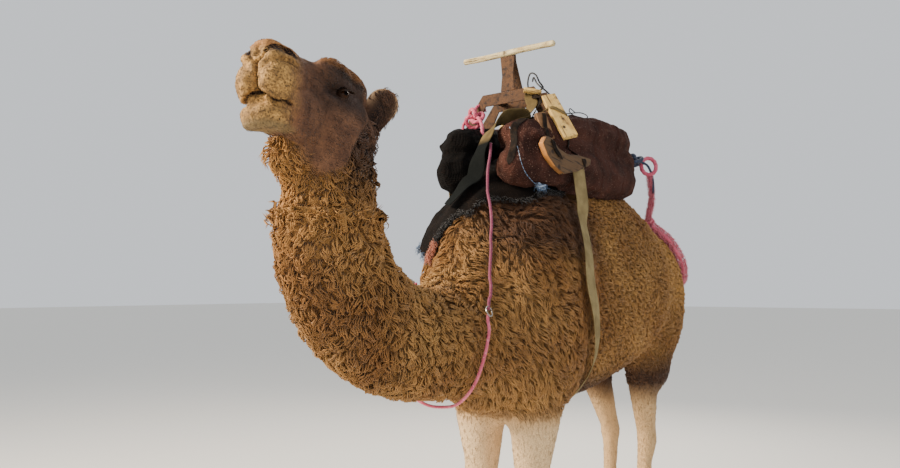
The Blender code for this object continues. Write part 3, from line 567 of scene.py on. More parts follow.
def shaped_face(points, normals):
    """Works the nostrils, the split lip, the mouth, the chin and the folds into the face."""
    local = to_head(points)
    front = ramp(local[:, 1], -0.20, -0.26)
    lift = sum(bump_along(local, *form) for form in FACE_FORMS)
    folds = sum(bump_along(local, CHEEK_FOLD + (0, 0.009 * k, 0), 0.0034, -0.0017)
                for k in range(4))
    warts = np.clip(noise(local, 0.0055, 3), 0, 1) * ramp(local[:, 1], -0.25, -0.31)
    grain = warts * 0.0005 + noise(local, 0.016, 4) * 0.0004 + noise(local, 0.034, 6) * 0.0008
    worked = points + normals * (front * (lift + folds)
                                 + grain * ramp(-local[:, 1], 0.1, 0.2))[:, None]
    hollow = bump_along(local, NOSTRIL, 0.0050, 0.021, 0.45, True, 0.0064, 3)[:, None]
    inward = np.where(local[:, :1] > 0, (-0.42, 0.86, 0.28), (0.42, 0.86, 0.28))
    return worked + (inward @ HEAD_TURN.T) * hollow


def in_cleft(local):
    """1 inside the nostrils, between the lips and in the mouth's grooves, where dark wet skin
    shows and painted shade darkens the creases, falling to 0.
    """
    return np.clip(np.maximum.reduce([bump_along(local, *cleft) for cleft in CLEFTS]), 0, 1)


EYEBALL = 0.0172                    # half of the eye's width, sunk in its socket
LID_TOP, LID_FOOT = 0.34, 0.26      # how far the half-shut lids open, as shares of the eye


def shaped_lids(points):
    """Lays the lids on the eyeballs: out to their thickness round an almond-shaped opening."""
    local = to_head(points)
    for side in (1, -1):
        centre, outward, level, upward = eye_axes(side)
        away = local - centre
        far = np.linalg.norm(away, axis=1)
        ray = unit(away)
        u, v = ray @ level, ray @ upward
        drop = 0.10 * u
        almond = (u / 0.78) ** 2 + ((v - drop) / np.where(v > drop, LID_TOP, LID_FOOT)) ** 2
        lid = EYEBALL + 0.0022 + 0.0026 * bell(np.sqrt(almond) - 1.22, 0.26)
        fold = bell(np.sqrt(almond) - 2.00, 0.18)
        near = (ray @ outward > 0.1) & (far < EYEBALL * 2.3)
        wrap = ramp(far, EYEBALL * 2.3, EYEBALL * 1.45)
        keep = far + wrap * (np.maximum(lid, far * 0.35 + lid * 0.65) - far) - 0.0024 * fold
        far = np.where(near & (almond > 1), np.maximum(keep, lid), far)
        far = np.where(near & (almond <= 1), EYEBALL * 0.72, far)
        local = centre + ray * far[:, None]
    return from_head(local)


def shaped_feet(points):
    """A groove between the two toes, toe tips round the nails, and the soles flat."""
    for leg in LEGS:
        nails = [middle(f"nail_{leg}_{place}") for place in ("outer", "inner")]
        away = points - (nails[0] + nails[1]) / 2
        groove = bell(away[:, 0], 0.009) * ramp(away[:, 1], 0.11, 0.03)
        groove *= ramp(away[:, 2], 0.075, 0.03) * (np.abs(away[:, 1]) < 0.2)
        points[:, 2] -= groove * 0.010 * ramp(points[:, 2], 0.005, 0.02)
        points[:, 1] += groove * 0.010
        for nail in nails:
            # Forward by 15 mm times e to the minus (distance from the nail's line) squared
            off = points - nail
            tip = np.exp(-(off[:, 0] / 0.021) ** 2 - ((off[:, 2] + 0.006) / 0.024) ** 2)
            tip *= ramp(off[:, 1], 0.08, 0.02) * (np.abs(off[:, 1]) < 0.1)
            points[:, 1] -= 0.015 * tip
    points[:, 2] = np.maximum(points[:, 2], 0.0)
    return points


EAR_LENGTH, EAR_WIDTH, EAR_THICK = 0.124, 0.092, 0.006


def ear_mesh(side):
    """A rounded leaf, cupped across and closed: two skins that meet at the rim and the root.

    Across the ear u runs from -1 to 1 and along it v from 0 to 1. Its half width is a sine
    of v, its cup a parabola of u, and its thickness falls to nothing at the rim.
    """
    tip_way = unit(HEAD_TURN @ np.array((0.52 * side, 0.16, 0.80)))
    root = from_head((0.064 * side, -0.004, -0.056)) - tip_way * 0.024
    mouth = HEAD_TURN @ np.array((0.50 * side, -0.80, 0.10))
    back = -unit(mouth - tip_way * (mouth @ tip_way))
    across = np.cross(back, tip_way)
    v, turn = np.meshgrid(np.linspace(0, 1, 30),
                          np.linspace(0, 2 * math.pi, 50, endpoint=False), indexing="ij")
    u = np.cos(turn)
    inner = np.sin(turn) > 0
    half = EAR_WIDTH / 2 * (0.74 + 0.26 * np.sin(np.clip(v * 1.70, 0, 1.57)) ** 1.3)
    half = half * np.sqrt(np.clip(1 - np.clip((v - 0.60) / 0.405, 0, 1) ** 2.0, 0, 1))
    cup = 0.36 - 0.16 * v
    depth = half * cup * (1 - u ** 2) * 1.6 - 0.012 * v ** 2 + 0.004 * ramp(v, 0.35, 0.0)
    wall = EAR_THICK * np.abs(np.sin(turn)) ** 0.6 * np.where(inner, -0.5, 0.5)
    place = (across * (half * u)[..., None] + back * (depth + wall)[..., None]
             + tip_way * (v * EAR_LENGTH)[..., None])
    return closed_grid(root + place, rim=np.abs(u) ** 4 * ramp(v, 0.40, 0.70),
                       cup=inner * (1 - u ** 2) * ramp(v, 0.98, 0.80))


def uneven_depth(mesh, points, rounds):
    """The coat's depth, evened along the mesh, then varied by a fifth where it is deep."""
    depth = averaged(coat_depth(points), edges_of(mesh), rounds)
    return depth + 0.20 * depth * noise(points, 0.038, 21) * ramp(depth, 0.008, 0.016)


def skin_surface():
    """The whole skin: the body's coarse mesh and the head's fine one, overlapping in wool."""
    body = refined(remeshed(flesh_mesh(BODY_FLESH, SWELL), BODY_VOXEL), is_leg)
    ends = edges_of(body)
    points = evened(points_of(body), ends, 15)
    depth = uneven_depth(body, points, 4)
    depth += 0.012 * ramp(points[:, 2], NECK_TOP - 0.08, NECK_TOP) * (points[:, 1] < -0.7)
    points = points - normals_of(points, triangles_of(body)) * depth[:, None]
    points[:, 2] = np.maximum(points[:, 2], 0.0)
    set_points(body, shaped_feet(averaged(points, ends, 2, 0.4)))

    head = remeshed(joined(head_masses(), flesh_mesh(("neck",), SWELL)), HEAD_VOXEL)
    head = refined(trimmed(head, (0, 0, NECK_CUT), (0, 0, -1)), is_fine_face)
    ends, triangles = edges_of(head), triangles_of(head)
    points = evened(averaged(points_of(head), ends, 3), ends, 7)
    depth = uneven_depth(head, points, 11)
    depth += 0.004 * ramp(points[:, 2], NECK_CUT + 0.10, NECK_CUT)
    bare = points - normals_of(points, triangles) * depth[:, None]
    normals = averaged(normals_of(bare, triangles), ends, 4)
    points = averaged(shaped_face(bare, unit(normals)), ends, 1, 0.4)
    set_points(head, shaped_lids(points))
    add_values(head, cleft=in_cleft(to_head(bare)))
    skin = joined(body, head, ear_mesh(1), ear_mesh(-1))
    points = points_of(skin)
    add_values(skin, wool=coat_depth(points), face=face_share(points))
    return skin


def unwrapped(obj):
    """Gives the skin its own unwrap, in islands that turn at most 66 degrees."""
    bpy.context.view_layer.objects.active = obj
    obj.select_set(True)
    bpy.ops.object.mode_set(mode="EDIT")
    bpy.ops.mesh.select_all(action="SELECT")
    bpy.ops.uv.smart_project(angle_limit=math.radians(66), island_margin=0.002)
    bpy.ops.object.mode_set(mode="OBJECT")
    obj.select_set(False)
    obj.data.uv_layers.active.name = "OFBake"


# ------------------------------------------------------------------- the wool

LOCK_SIDES = 3
LONG_LOCK = (0.70, 1.0, 0.78)        # half width along a lock; it ends in one point
SHORT_LOCK = (0.90, 0.80)
ALONG_LOCK = np.linspace(0, 1, len(LONG_LOCK) + 1)[:, None]   # from root to tip, as shares
PIECE_LOCKS = 8500                         # locks in one piece of coat
BAKE_PATCH = 0.003                         # side of a lock's patch on the unwrap


class Skin:
    """The skin as arrays, for picking places on it."""

    def __init__(self, mesh):
        self.points = points_of(mesh)
        self.triangles = triangles_of(mesh)
        self.normals = normals_of(self.points, self.triangles)
        corners = read(mesh.loop_triangles, "loops", 3, np.int32)
        self.flat = read(mesh.uv_layers["OFBake"].data, "uv", 2)[corners]
        self.middle = self.points[self.triangles].mean(axis=1)
        self.tree = tree_from(self.points, self.triangles)

    def places(self, chosen, spacing):
        """Random roots on the chosen triangles, at most one in each cube of the spacing."""
        faces = np.flatnonzero(chosen)
        a, b, c = (self.points[self.triangles[faces, i]] for i in range(3))
        size = np.linalg.norm(np.cross(b - a, c - a), axis=1) / 2
        count = int(size.sum() / spacing ** 2 * 3)
        pick = np.searchsorted(np.cumsum(size), DRAWS.random(count) * size.sum())
        u, v = DRAWS.random((2, count))
        flip = u + v > 1
        u, v = np.where(flip, 1 - u, u), np.where(flip, 1 - v, v)
        share = np.stack([1 - u - v, u, v], axis=1)[..., None]
        tri = faces[np.minimum(pick, len(faces) - 1)]
        roots = (self.points[self.triangles[tri]] * share).sum(axis=1)
        cell = np.floor(roots / spacing).astype(np.int64) + 4096
        code = (cell[:, 0] << 40) + (cell[:, 1] << 20) + cell[:, 2]
        _, keep = np.unique(code, return_index=True)
        normals = unit((self.normals[self.triangles[tri]] * share).sum(axis=1))
        flat = (self.flat[tri] * share).sum(axis=1)
        return roots[keep], normals[keep], flat[keep]


def lie_of_coat(points, normals):
    """The way the hair points: back from the nose, down the neck and legs, back on the body."""
    y, z = points[:, 1], points[:, 2]
    face = face_share(points)[:, None]
    neck = (ramp(y, -0.42, -0.60) * (1 - face[:, 0]))[:, None]
    leg = ramp(z, 1.05, 0.85)[:, None]
    way = np.array((0, 0.62, -0.78)) * (1 - neck) + np.array((0, 0.05, -1.0)) * neck
    way = way * (1 - leg) + np.array((0, 0.06, -1.0)) * leg
    back = HEAD_TURN @ np.array((0, 1.0, -0.30))
    way = way * (1 - face) + back * face
    way = way - normals * (way * normals).sum(axis=1)[:, None]
    return unit(way + 1e-4)


def turned(ways, normals, angle):
    """Each way turned about its normal by its angle."""
    return ways * np.cos(angle)[:, None] + np.cross(normals, ways) * np.sin(angle)[:, None]


def lock_arrays(roots, normals, ways, tufts, look):
    """Points of tapered locks that lean together in tufts, coil, and end in a point.

    Along a lock s runs from 0 to 1. Its line is the tuft's middle, plus the lock's own
    distance from it, which shrinks with s, plus its length times s along its way, plus its
    rise by a sine over the first half, plus a coil whose radius grows with s.
    """
    s = np.linspace(0, 1, len(look["rings"]) + 1)
    aside = np.cross(normals, ways)
    turns = np.reshape(look["turns"], (-1, 1))
    phase = tufts["phase"][:, None] + tufts["hand"][:, None] * turns * FULL_TURN * s
    reach = look["curl"][:, None] * np.sin(np.minimum(s * 1.3, 1) * math.pi / 2)
    up = look["rise"][:, None] * (np.sin(np.minimum(s / 0.55, 1) * math.pi / 2) - 0.30 * s ** 3)
    own = DRAWS.random((2, len(roots), 1)) * FULL_TURN
    up = up + reach * np.sin(phase) * 0.8 + 0.0011 * s * np.sin(own[0] + 5 * s)
    side = reach * np.cos(phase) + 0.0018 * s * np.sin(own[1] + 6 * s)
    apart = (roots - tufts["middle"])[:, None] * (-look["gather"] * s ** 0.7)[..., None]
    return (roots[:, None] + apart + ways[:, None] * (look["length"][:, None] * s)[..., None]
            + normals[:, None] * up[..., None] + aside[:, None] * side[..., None])


def settled(spine, tree, most):
    """Lines whose tips stand off the skin by more than most are bent back down to it."""
    tips = spine[:, -1]
    found = [tree.find_nearest(Vector(p))[:2] for p in tips.tolist()]
    near = np.array([tuple(hit) for hit, _ in found])
    out = np.array([tuple(way) for _, way in found])
    above = ((tips - near) * out).sum(axis=1)
    drop = np.clip(above - most, 0, None)
    s = np.linspace(0, 1, spine.shape[1]) ** 1.4
    return spine - out[:, None] * (drop[:, None] * s)[..., None]


def lock_rings(spine, normals, width, thin, rings=LONG_LOCK):
    """Three-sided rings round each line, flattened over the skin, and the tip."""
    along = unit(np.gradient(spine, axis=1))[:, :-1]
    across = unit(np.cross(along, normals[:, None]))
    over = np.cross(across, along)
    half = width[:, None] / 2 * np.array(rings)
    angle = math.pi / 2 + np.arange(LOCK_SIDES) * 2 * math.pi / LOCK_SIDES
    ring = (across[:, :, None] * np.cos(angle)[:, None]
            + over[:, :, None] * (np.sin(angle) * thin)[:, None])
    rings = spine[:, :-1, None] + ring * half[:, :, None, None]
    return np.concatenate([rings.reshape(len(spine), -1, 3), spine[:, -1:]], axis=1)


def lock_faces(rings):
    """Triangles of one lock: its sides, its root closed, and the point."""
    n, tip = LOCK_SIDES, LOCK_SIDES * rings
    faces = [(0, 2, 1)]
    for i in range(rings - 1):
        for j in range(n):
            a, b = i * n + j, i * n + (j + 1) % n
            faces += [(a, b, b + n), (a, b + n, a + n)]
    faces += [(tip - n + j, tip - n + (j + 1) % n, tip) for j in range(n)]
    return np.array(faces)


def coat_piece(name, locks, flat, shade, material, face=0.0):
    """Locks as one mesh, with each lock's shade, the way along it, and its patch to bake on.

    Face is 1 for the locks of the face's short fur and 0 for the wool's.
    """
    count, each = locks.shape[:2]
    rings = each // LOCK_SIDES
    faces = (lock_faces(rings)[None] + np.arange(count)[:, None, None] * each).reshape(-1, 3)
    mesh = mesh_from(locks.reshape(-1, 3), faces)
    s = np.append(np.repeat(np.arange(rings), LOCK_SIDES), rings) / rings
    round_it = np.append(np.tile(np.arange(LOCK_SIDES) / LOCK_SIDES, rings), 0.5)
    add_values(mesh, shade=np.repeat(shade, each), along=np.tile(s, count),
               across=np.tile(round_it, count),
               face=np.repeat(np.broadcast_to(face, (count,)), each))
    patch = flat[:, None] + np.stack([round_it, s], axis=1) * BAKE_PATCH
    layer = mesh.uv_layers.new(name="OFBake")
    layer.data.foreach_set("uv", flat32(patch.reshape(-1, 2)[faces.ravel()]))
    return added(name, mesh, material)


def bare_below(roots, normals, tree, reach):
    """True where gear lies over the root, so that no lock grows there."""
    return np.array([tree.ray_cast(Vector(p), Vector(n), reach)[0] is not None
                     for p, n in zip(roots.tolist(), normals.tolist())])


def pressed(places, tree, reach):
    """From 0 under a strap to 1 a reach away from it."""
    far = np.array([tree.find_nearest(Vector(p), reach)[3] or reach for p in places.tolist()])
    return ramp(far, 0.004, reach)


def tufted(skin, chosen, spacing, roots, look):
    """Joins each root to the nearest of evenly spread tufts, which share a way and a coil."""
    middles, normals, _ = skin.places(chosen(skin.middle), spacing)
    finder = KDTree(len(middles))
    for i, place in enumerate(middles.tolist()):
        finder.insert(place, i)
    finder.balance()
    nearest = np.array([finder.find(place)[1] for place in roots.tolist()])
    count = len(middles)
    swirl = noise(middles, look["swirl_size"], 11) + DRAWS.uniform(-0.4, 0.4, count)
    ways = turned(lie_of_coat(middles, normals), normals, swirl * look["swirl"])
    values = {"middle": middles, "way": ways, "phase": DRAWS.random(count) * FULL_TURN,
              "hand": DRAWS.choice((-1.0, 1.0), count), "size": DRAWS.uniform(0.8, 1.2, count),
              "shade": DRAWS.uniform(-1, 1, count)}
    return {key: value[nearest] for key, value in values.items()}


def grow(skin, name, chosen, spacing, style, material, gear, straps):
    """Roots, tufts, locks and pieces of one kind of coat."""
    roots, normals, flat = skin.places(chosen(skin.middle), spacing)
    tips = roots + lie_of_coat(roots, normals) * 0.030
    keep = ~(bare_below(roots, normals, gear, 0.05) & bare_below(tips, normals, gear, 0.05))
    roots, normals, flat = roots[keep], normals[keep], flat[keep]
    look = style(roots)
    tufts = tufted(skin, chosen, look["tuft"], roots, look)
    press = pressed(roots + normals * coat_depth(roots)[:, None], straps, 0.030)
    ways = tufts["way"] - normals * (tufts["way"] * normals).sum(axis=1)[:, None]
    ways = turned(unit(ways), normals, DRAWS.normal(0, look["stray"], len(roots)))
    vary = DRAWS.uniform(0.85, 1.15, (2, len(roots)))
    look["rise"] = look["rise"] * (0.85 + 0.2 * noise(roots, 0.04, 5)) * (0.40 + 0.60 * press)
    look["curl"] = look["curl"] * tufts["size"] * (0.45 + 0.55 * press)
    look["length"] = look["length"] * vary[0] * tufts["size"]
    spine = lock_arrays(roots - normals * 0.001, normals, ways, tufts, look)
    spine = settled(spine, skin.tree, look["rise"] * 0.9 + look["curl"] * 0.6)
    width = look["width"] * vary[1] * 1.0
    locks = lock_rings(spine, normals, width, look["thin"], look["rings"])
    locks[..., 2] = np.maximum(locks[..., 2], 0.0005)
    shade = 0.65 * tufts["shade"] + 0.35 * DRAWS.uniform(-1, 1, len(roots))
    order = np.argsort(roots[:, 1] + 10 * (roots[:, 0] > 0))
    face = face_share(roots)
    for i, start in enumerate(range(0, len(order), PIECE_LOCKS)):
        part = order[start:start + PIECE_LOCKS]
        coat_piece(f"{name}_{i + 1}", locks[part], flat[part], shade[part], material, face[part])


WOOL_DEPTH = 0.0075      # a deeper coat than this is wool, a shallower one is fur
CURLS_FROM = 0.09        # behind this, where the girth runs, the wool is in tight curls
HEAD_FUR = 1.5           # fur above this height is the face's, and below it the legs'


def is_wool(points):
    return coat_depth(points) > WOOL_DEPTH


def long_wool(points):
    return is_wool(points) & (points[:, 1] < CURLS_FROM)


def tight_wool(points):
    return is_wool(points) & (points[:, 1] >= CURLS_FROM)


def face_fur(points):
    return ~is_wool(points) & (points[:, 2] > HEAD_FUR)


def short_fur(points):
    return ~is_wool(points) & (points[:, 2] > 0.012) & (points[:, 2] < HEAD_FUR)


def long_style(points):
    """Loose curls on the neck, longer wavy locks on the shoulder."""
    shoulder = ramp(points[:, 1], -0.60, -0.42)
    depth = coat_depth(points)
    full = 0.35 + 0.65 * np.clip(depth / 0.028, 0, 1)
    return {"length": (0.030 + 0.012 * shoulder) * full,
            "width": (0.0052 - 0.0014 * shoulder) * (0.5 + 0.5 * full),
            "rise": depth * 0.66, "curl": (0.0062 - 0.0025 * shoulder) * full,
            "turns": 1.20 - 0.35 * shoulder, "gather": 0.62, "thin": 0.6, "stray": 0.14,
            "swirl": 0.95, "swirl_size": 0.060, "tuft": 0.024, "rings": LONG_LOCK}


def tight_style(points):
    """Short springy curls, one beside another."""
    return {"length": 0.021, "width": 0.0056, "rise": coat_depth(points) * 0.70,
            "curl": 0.0050, "turns": 1.40, "gather": 0.70, "thin": 0.70, "stray": 0.20,
            "swirl": 1.3, "swirl_size": 0.035, "tuft": 0.019, "rings": LONG_LOCK}


def face_style(points):
    """Very short hair, lying close: finest on the muzzle, longer on the ears and the crown."""
    depth = coat_depth(points)
    local = to_head(points)
    front = ramp(local[:, 1], -0.30, -0.36)
    ear = ramp(np.abs(local[:, 0]), 0.078, 0.092) * ramp(local[:, 1], -0.05, -0.03)
    crown = ramp(local[:, 2], 0.000, 0.030) * ramp(local[:, 1], -0.27, -0.20)
    return {"length": 0.011 - 0.003 * front + depth * 0.8 + 0.008 * ear + 0.010 * crown,
            "width": 0.0021 - 0.0003 * front + 0.0010 * crown,
            "rise": depth * 0.50 + 0.0004 + 0.0040 * ear + 0.0050 * crown,
            "curl": 0.0005 + depth * 0.10, "turns": 0.5, "gather": 0.30, "thin": 0.35,
            "stray": 0.15, "swirl": 0.25, "swirl_size": 0.05, "tuft": 0.016,
            "rings": SHORT_LOCK}


def short_style(points):
    """Small flat tufts, smallest on the feet."""
    depth = coat_depth(points)
    small = ramp(points[:, 2], 0.25, 0.10)
    return {"length": 0.015 - 0.008 * small + depth * 0.8, "width": 0.0036 - 0.0020 * small,
            "rise": depth * 0.50 + 0.0003, "curl": 0.0005 + depth * 0.10, "turns": 0.5,
            "gather": 0.35, "thin": 0.35, "stray": 0.12, "swirl": 0.22, "swirl_size": 0.06,
            "tuft": 0.020, "rings": SHORT_LOCK}


def make_tail_brush(skin, material):
    """The tail's tuft of long hair, from its last third down."""
    low = np.array(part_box("tail")[0])
    x, y, z = skin.middle.T
    chosen = ((y > low[1] + 0.02) & (z < low[2] + 0.24) & (z > low[2] - 0.05)
              & (np.abs(x) < 0.06))
    roots, normals, flat = skin.places(chosen, 0.0060)
    reach = np.clip(roots[:, 2] - low[2] + 0.010, 0.03, 0.15)[:, None, None]
    count = len(roots)
    s = ALONG_LOCK
    sway = 0.005 * np.sin(DRAWS.random((count, 1, 3)) * FULL_TURN + 6 * s)
    spine = (roots[:, None] + normals[:, None] * 0.010 * np.sin(s * 2.2)
             + np.array((0, 0, -1.0)) * reach * s * DRAWS.uniform(0.7, 1.0, (count, 1, 1))
             + sway * s)
    locks = lock_rings(spine, normals, np.full(count, 0.0042), 0.5)
    coat_piece("tail_brush", locks, flat, DRAWS.uniform(-1, 1, count), material)


def eye_axes(side):
    """The eye's middle, and its ways outward, level and up, in head axes."""
    centre = np.array(((EYE_SIDE - 0.002) * side, -EYE_FORWARD, -EYE_DROP))
    outward = unit(np.array((0.90 * side, -0.42, 0.05)))
    level = unit(np.cross((0, 0, 1), outward))
    return centre, outward, level, np.cross(outward, level)


def make_eyes(material, hair):
    """Wet dark balls, and the long lashes on the upper lids."""
    for name, side in (("left", 1), ("right", -1)):
        centre, outward, level, upward = eye_axes(side)
        theta, phi = np.meshgrid(np.linspace(0.06, math.pi - 0.06, 33),
                                 np.linspace(0, 2 * math.pi, 48, endpoint=False), indexing="ij")
        # A ball: the cosine of theta outward, its sine round by phi
        ball = (outward * np.cos(theta)[..., None]
                + level * (np.sin(theta) * np.cos(phi))[..., None]
                + upward * (np.sin(theta) * np.sin(phi))[..., None])
        points = from_head(centre + ball * (EYEBALL - 0.0004))
        finished(f"eyeball_{name}", closed_grid(points, gaze=np.cos(theta)), material,
                 f"eye_{name}")
        count = 90
        u = np.linspace(-0.72, 0.74, count) + DRAWS.normal(0, 0.01, count)
        v = 0.10 * u + LID_TOP * np.sqrt(np.clip(1 - (u / 0.80) ** 2, 0, 1)) + 0.05
        w = np.sqrt(np.clip(1 - u ** 2 - v ** 2, 0.02, 1))
        way = level * u[:, None] + upward * v[:, None] + outward * w[:, None]
        roots = centre + unit(way) * (EYEBALL + 0.0024)
        s = ALONG_LOCK
        fan = unit(outward * 0.9 + level * (u[:, None] * 0.7) + upward * -0.25)
        bend = (upward * -0.35 * s + upward * 0.30 * s ** 2)[None]
        length = DRAWS.uniform(0.016, 0.026, (count, 1, 1))
        spine = from_head(roots[:, None] + fan[:, None] * length * s + bend * length)
        locks = lock_rings(spine, unit(from_head(way) - POLL), np.full(count, 0.0013), 0.6)
        coat_piece(f"lashes_{name}", locks, np.full((count, 2), 0.5), np.zeros(count), hair)


def markings(coat, place):
    """The coat's colours by place, with painted light and shade, the same on skin and hair: one
    colour socket.
    """
    turn = Matrix(HEAD_TURN.tolist()).to_euler()
    in_head = add(coat, "Mapping", vector_type="TEXTURE", Vector=place, Location=tuple(POLL),
                  Rotation=tuple(turn))
    world, head = (add(coat, "SeparateXYZ", Vector=at).node.outputs for at in (place, in_head))
    y, z, high = world["Y"], world["Z"], head["Z"]
    forward = add(coat, "Math", operation="MULTIPLY", i0=head["Y"], i1=-1.0)
    aside = add(coat, "Math", operation="ABSOLUTE", i0=head["X"])
    drift = add(coat, "TexNoise", Vector=place, Scale=3.2, Detail=3.0, Roughness=0.6)

    def mask(value, low, top, wander=0.0):
        """0 to 1 as a value passes from low to top, its edge wandering with the noise."""
        shift = add(coat, "Math", operation="MULTIPLY_ADD", i0=drift, i1=wander,
                    i2=-wander / 2)
        moved = add(coat, "Math", operation="ADD", i0=value, i1=shift)
        return add(coat, "MapRange", interpolation_type="SMOOTHSTEP", Value=moved,
                   From_Min=low, From_Max=top)

    def mottled(dark, light, size, low, top, detail):
        return paint(coat, dark, light, patches(coat, place, size, low, top, detail))

    on_face = add(coat, "Attribute", "Fac", attribute_name="face")
    near_ears = add(coat, "Math", operation="MULTIPLY", i0=mask(z, 1.54, 1.78, 0.12),
                    i1=mask(y, -0.88, -0.96))
    muzzle = paint(coat, mottled("#B98C4C", "#8A6738", 0.022, 0.40, 0.62, 5.0), "#5F4727",
                   patches(coat, place, 0.0050, 0.48, 0.66))
    broad = add(coat, "MapRange", Value=drift, From_Min=0.35, From_Max=0.68)
    tone = paint(coat, "#8A5E30", "#B78A4E", broad)
    for color, *masks in (
            ("#BC8C4C", mask(y, 0.60, 0.95, 0.2), mask(z, 1.30, 1.45, 0.1)),        # rump
            ("#B07E42", mask(y, -0.62, -0.78, 0.1), mask(z, 1.30, 1.75, 0.1)),      # upper neck
            ("#5A3A20", mask(y, -0.50, -0.36, 0.15), mask(z, 1.44, 1.60, 0.1),
             mask(y, 0.22, 0.02, 0.15)),                                            # painted shade of the saddle on the withers
            ("#4E3320", mask(z, 1.16, 1.00, 0.06), mask(y, 0.02, 0.10)),            # painted shade under the belly
            ("#D2B286", mask(z, 1.02, 0.90, 0.05), mask(y, 0.05, 0.02)),            # forelegs
            ("#C6A273", mask(z, 0.98, 0.82, 0.10), mask(y, 0.50, 0.60)),            # hind legs
            ("#B5905F", mask(z, 0.30, 0.10, 0.04)),                                 # feet
            ("#3B2617", mask(y, 1.36, 1.39), mask(z, 1.25, 1.10, 0.1)),             # tail brush
            ("#4A3120", near_ears, mask(high, -0.46, -0.24, 0.24),
             mask(forward, 0.17, 0.10, 0.05)),                                      # painted shade behind the head and down the back of the upper neck
            (mottled("#513524", "#6F4C34", 0.045, 0.35, 0.65, 4.0), on_face),
            ("#6B4630", on_face, mask(high, -0.20, -0.14), mask(high, -0.10, -0.13),
             mask(forward, 0.30, 0.34)),                                            # lips' corner
            ("#36241B", on_face, mask(forward, 0.300, 0.200, 0.04),
             mask(forward, 0.045, 0.085), mask(high, -0.115, -0.050, 0.05)),        # painted shade round the eye, under the brow
            (mottled("#9C6836", "#7A4E2A", 0.018, 0.40, 0.62, 4.0), on_face,
             mask(high, 0.012, 0.034, 0.02), mask(forward, 0.33, 0.24)),            # crown
            ("#614432", near_ears, mask(aside, 0.070, 0.084), mask(high, -0.140, -0.110),
             mask(forward, 0.080, 0.050)),                                          # ears
            (muzzle, on_face, mask(forward, 0.310, 0.405, 0.05)),
            (mottled("#A8743E", "#86592F", 0.014, 0.40, 0.62, 4.0), on_face,
             mask(high, -0.004, 0.020), mask(forward, 0.30, 0.36)),                 # top of the nose, mottled and painted lighter: painted light
            # painted shade under the lower lip and on the chin
            ("#75603E", on_face, mask(high, -0.150, -0.172), mask(forward, 0.30, 0.34))):
        tone = paint(coat, tone, color, *masks)
    return tone


def wool_material():
    """Camel wool: dull keratin fibre, so rough with a faint soft sheen, and painted shade
    darkening it towards the roots.
    """
    wool, place = shader("camel_wool", Roughness=0.86, Sheen_Weight=0.10, Sheen_Roughness=0.5,
                         Specular_IOR_Level=0.25)
    along, shade, across = (add(wool, "Attribute", "Fac", attribute_name=name)
                            for name in ("along", "shade", "across"))
    # painted shade deep in the coat: darker at the roots, lighter at the tips
    lit = add(wool, "MapRange", Value=along, From_Max=0.8, To_Min=0.70, To_Max=1.12)
    own = add(wool, "MapRange", Value=shade, From_Min=-1.0, To_Min=0.76, To_Max=1.22)
    gain = add(wool, "Math", operation="MULTIPLY", i0=lit, i1=own)
    color = add(wool, "VectorMath", operation="SCALE", Vector=markings(wool, place), Scale=gain)
    strand = add(wool, "CombineXYZ", X=across, Y=shade)
    hairs = add(wool, "TexNoise", Vector=strand, Scale=9.0, Detail=1.0)
    return dressed(wool, color, (hairs, 0.0010))


def skin_material():
    """Hide under the coat: short hair where it is bare of wool, matted curls below wool, and
    painted shade darkening it under the wool.
    """
    hide, place = shader("camel_hide", Roughness=0.80, Specular_IOR_Level=0.3)
    wool, cleft, rim, cup = (add(hide, "Attribute", "Fac", attribute_name=name)
                             for name in ("wool", "cleft", "rim", "cup"))
    woolly = add(hide, "MapRange", Value=wool, From_Min=0.004, From_Max=0.016)
    # painted shade: the skin is darker where the wool is deep, between the locks
    shade_under_wool = add(hide, "MapRange", Value=woolly, To_Min=1.0, To_Max=0.72)
    streak = add(hide, "TexNoise", Vector=place, Scale=260.0, Detail=3.0)
    streak = add(hide, "MapRange", Value=streak, From_Min=0.3, From_Max=0.7, To_Min=0.72,
                 To_Max=1.26)
    color = markings(hide, place)
    for gain in (shade_under_wool, streak):
        color = add(hide, "VectorMath", operation="SCALE", Vector=color, Scale=gain)
    # dark wet skin in the openings, and painted shade in the mouth's grooves and creases
    wet_and_shade = add(hide, "MapRange", Value=cleft, From_Min=0.40, From_Max=0.85)
    # painted shade in the ear's hollow, where cup is 1; pale hairs on the rim
    for tint, mask in (("#21140E", cup), ("#CDAA84", rim), ("#21120D", wet_and_shade)):
        color = paint(hide, color, tint, mask)
    flat_hair = add(hide, "Mapping", Vector=place, Scale=(1.0, 1.0, 0.35))
    hair = add(hide, "TexNoise", Vector=flat_hair, Scale=420.0, Detail=2.0)
    fold = add(hide, "TexNoise", Vector=place, Scale=90.0, Detail=3.0)
    curls = add(hide, "TexNoise", Vector=place, Scale=120.0, Detail=1.0, Distortion=1.2)
    curls = add(hide, "Math", operation="MULTIPLY", i0=curls, i1=woolly)
    return dressed(hide, color, (curls, 0.0060), (fold, 0.0008), (hair, 0.0012))


def eye_material():
    """A wet dark eye: a nearly black brown with a blacker pupil, under a glossy clear film."""
    eye, place = shader("wet_dark_eye", Roughness=0.14, Specular_IOR_Level=0.06,
                        Coat_Weight=0.05, Coat_Roughness=0.05)
    gaze = add(eye, "Attribute", "Fac", attribute_name="gaze")
    iris = add(eye, "MapRange", Value=gaze, From_Min=0.72, From_Max=0.80)
    pupil = add(eye, "MapRange", Value=gaze, From_Min=0.93, From_Max=0.95)
    fleck = paint(eye, "#3A2212", "#241408", patches(eye, place, 0.0015))
    return dressed(eye, paint(eye, paint(eye, "#2A1C14", fleck, iris), "#060404", pupil))


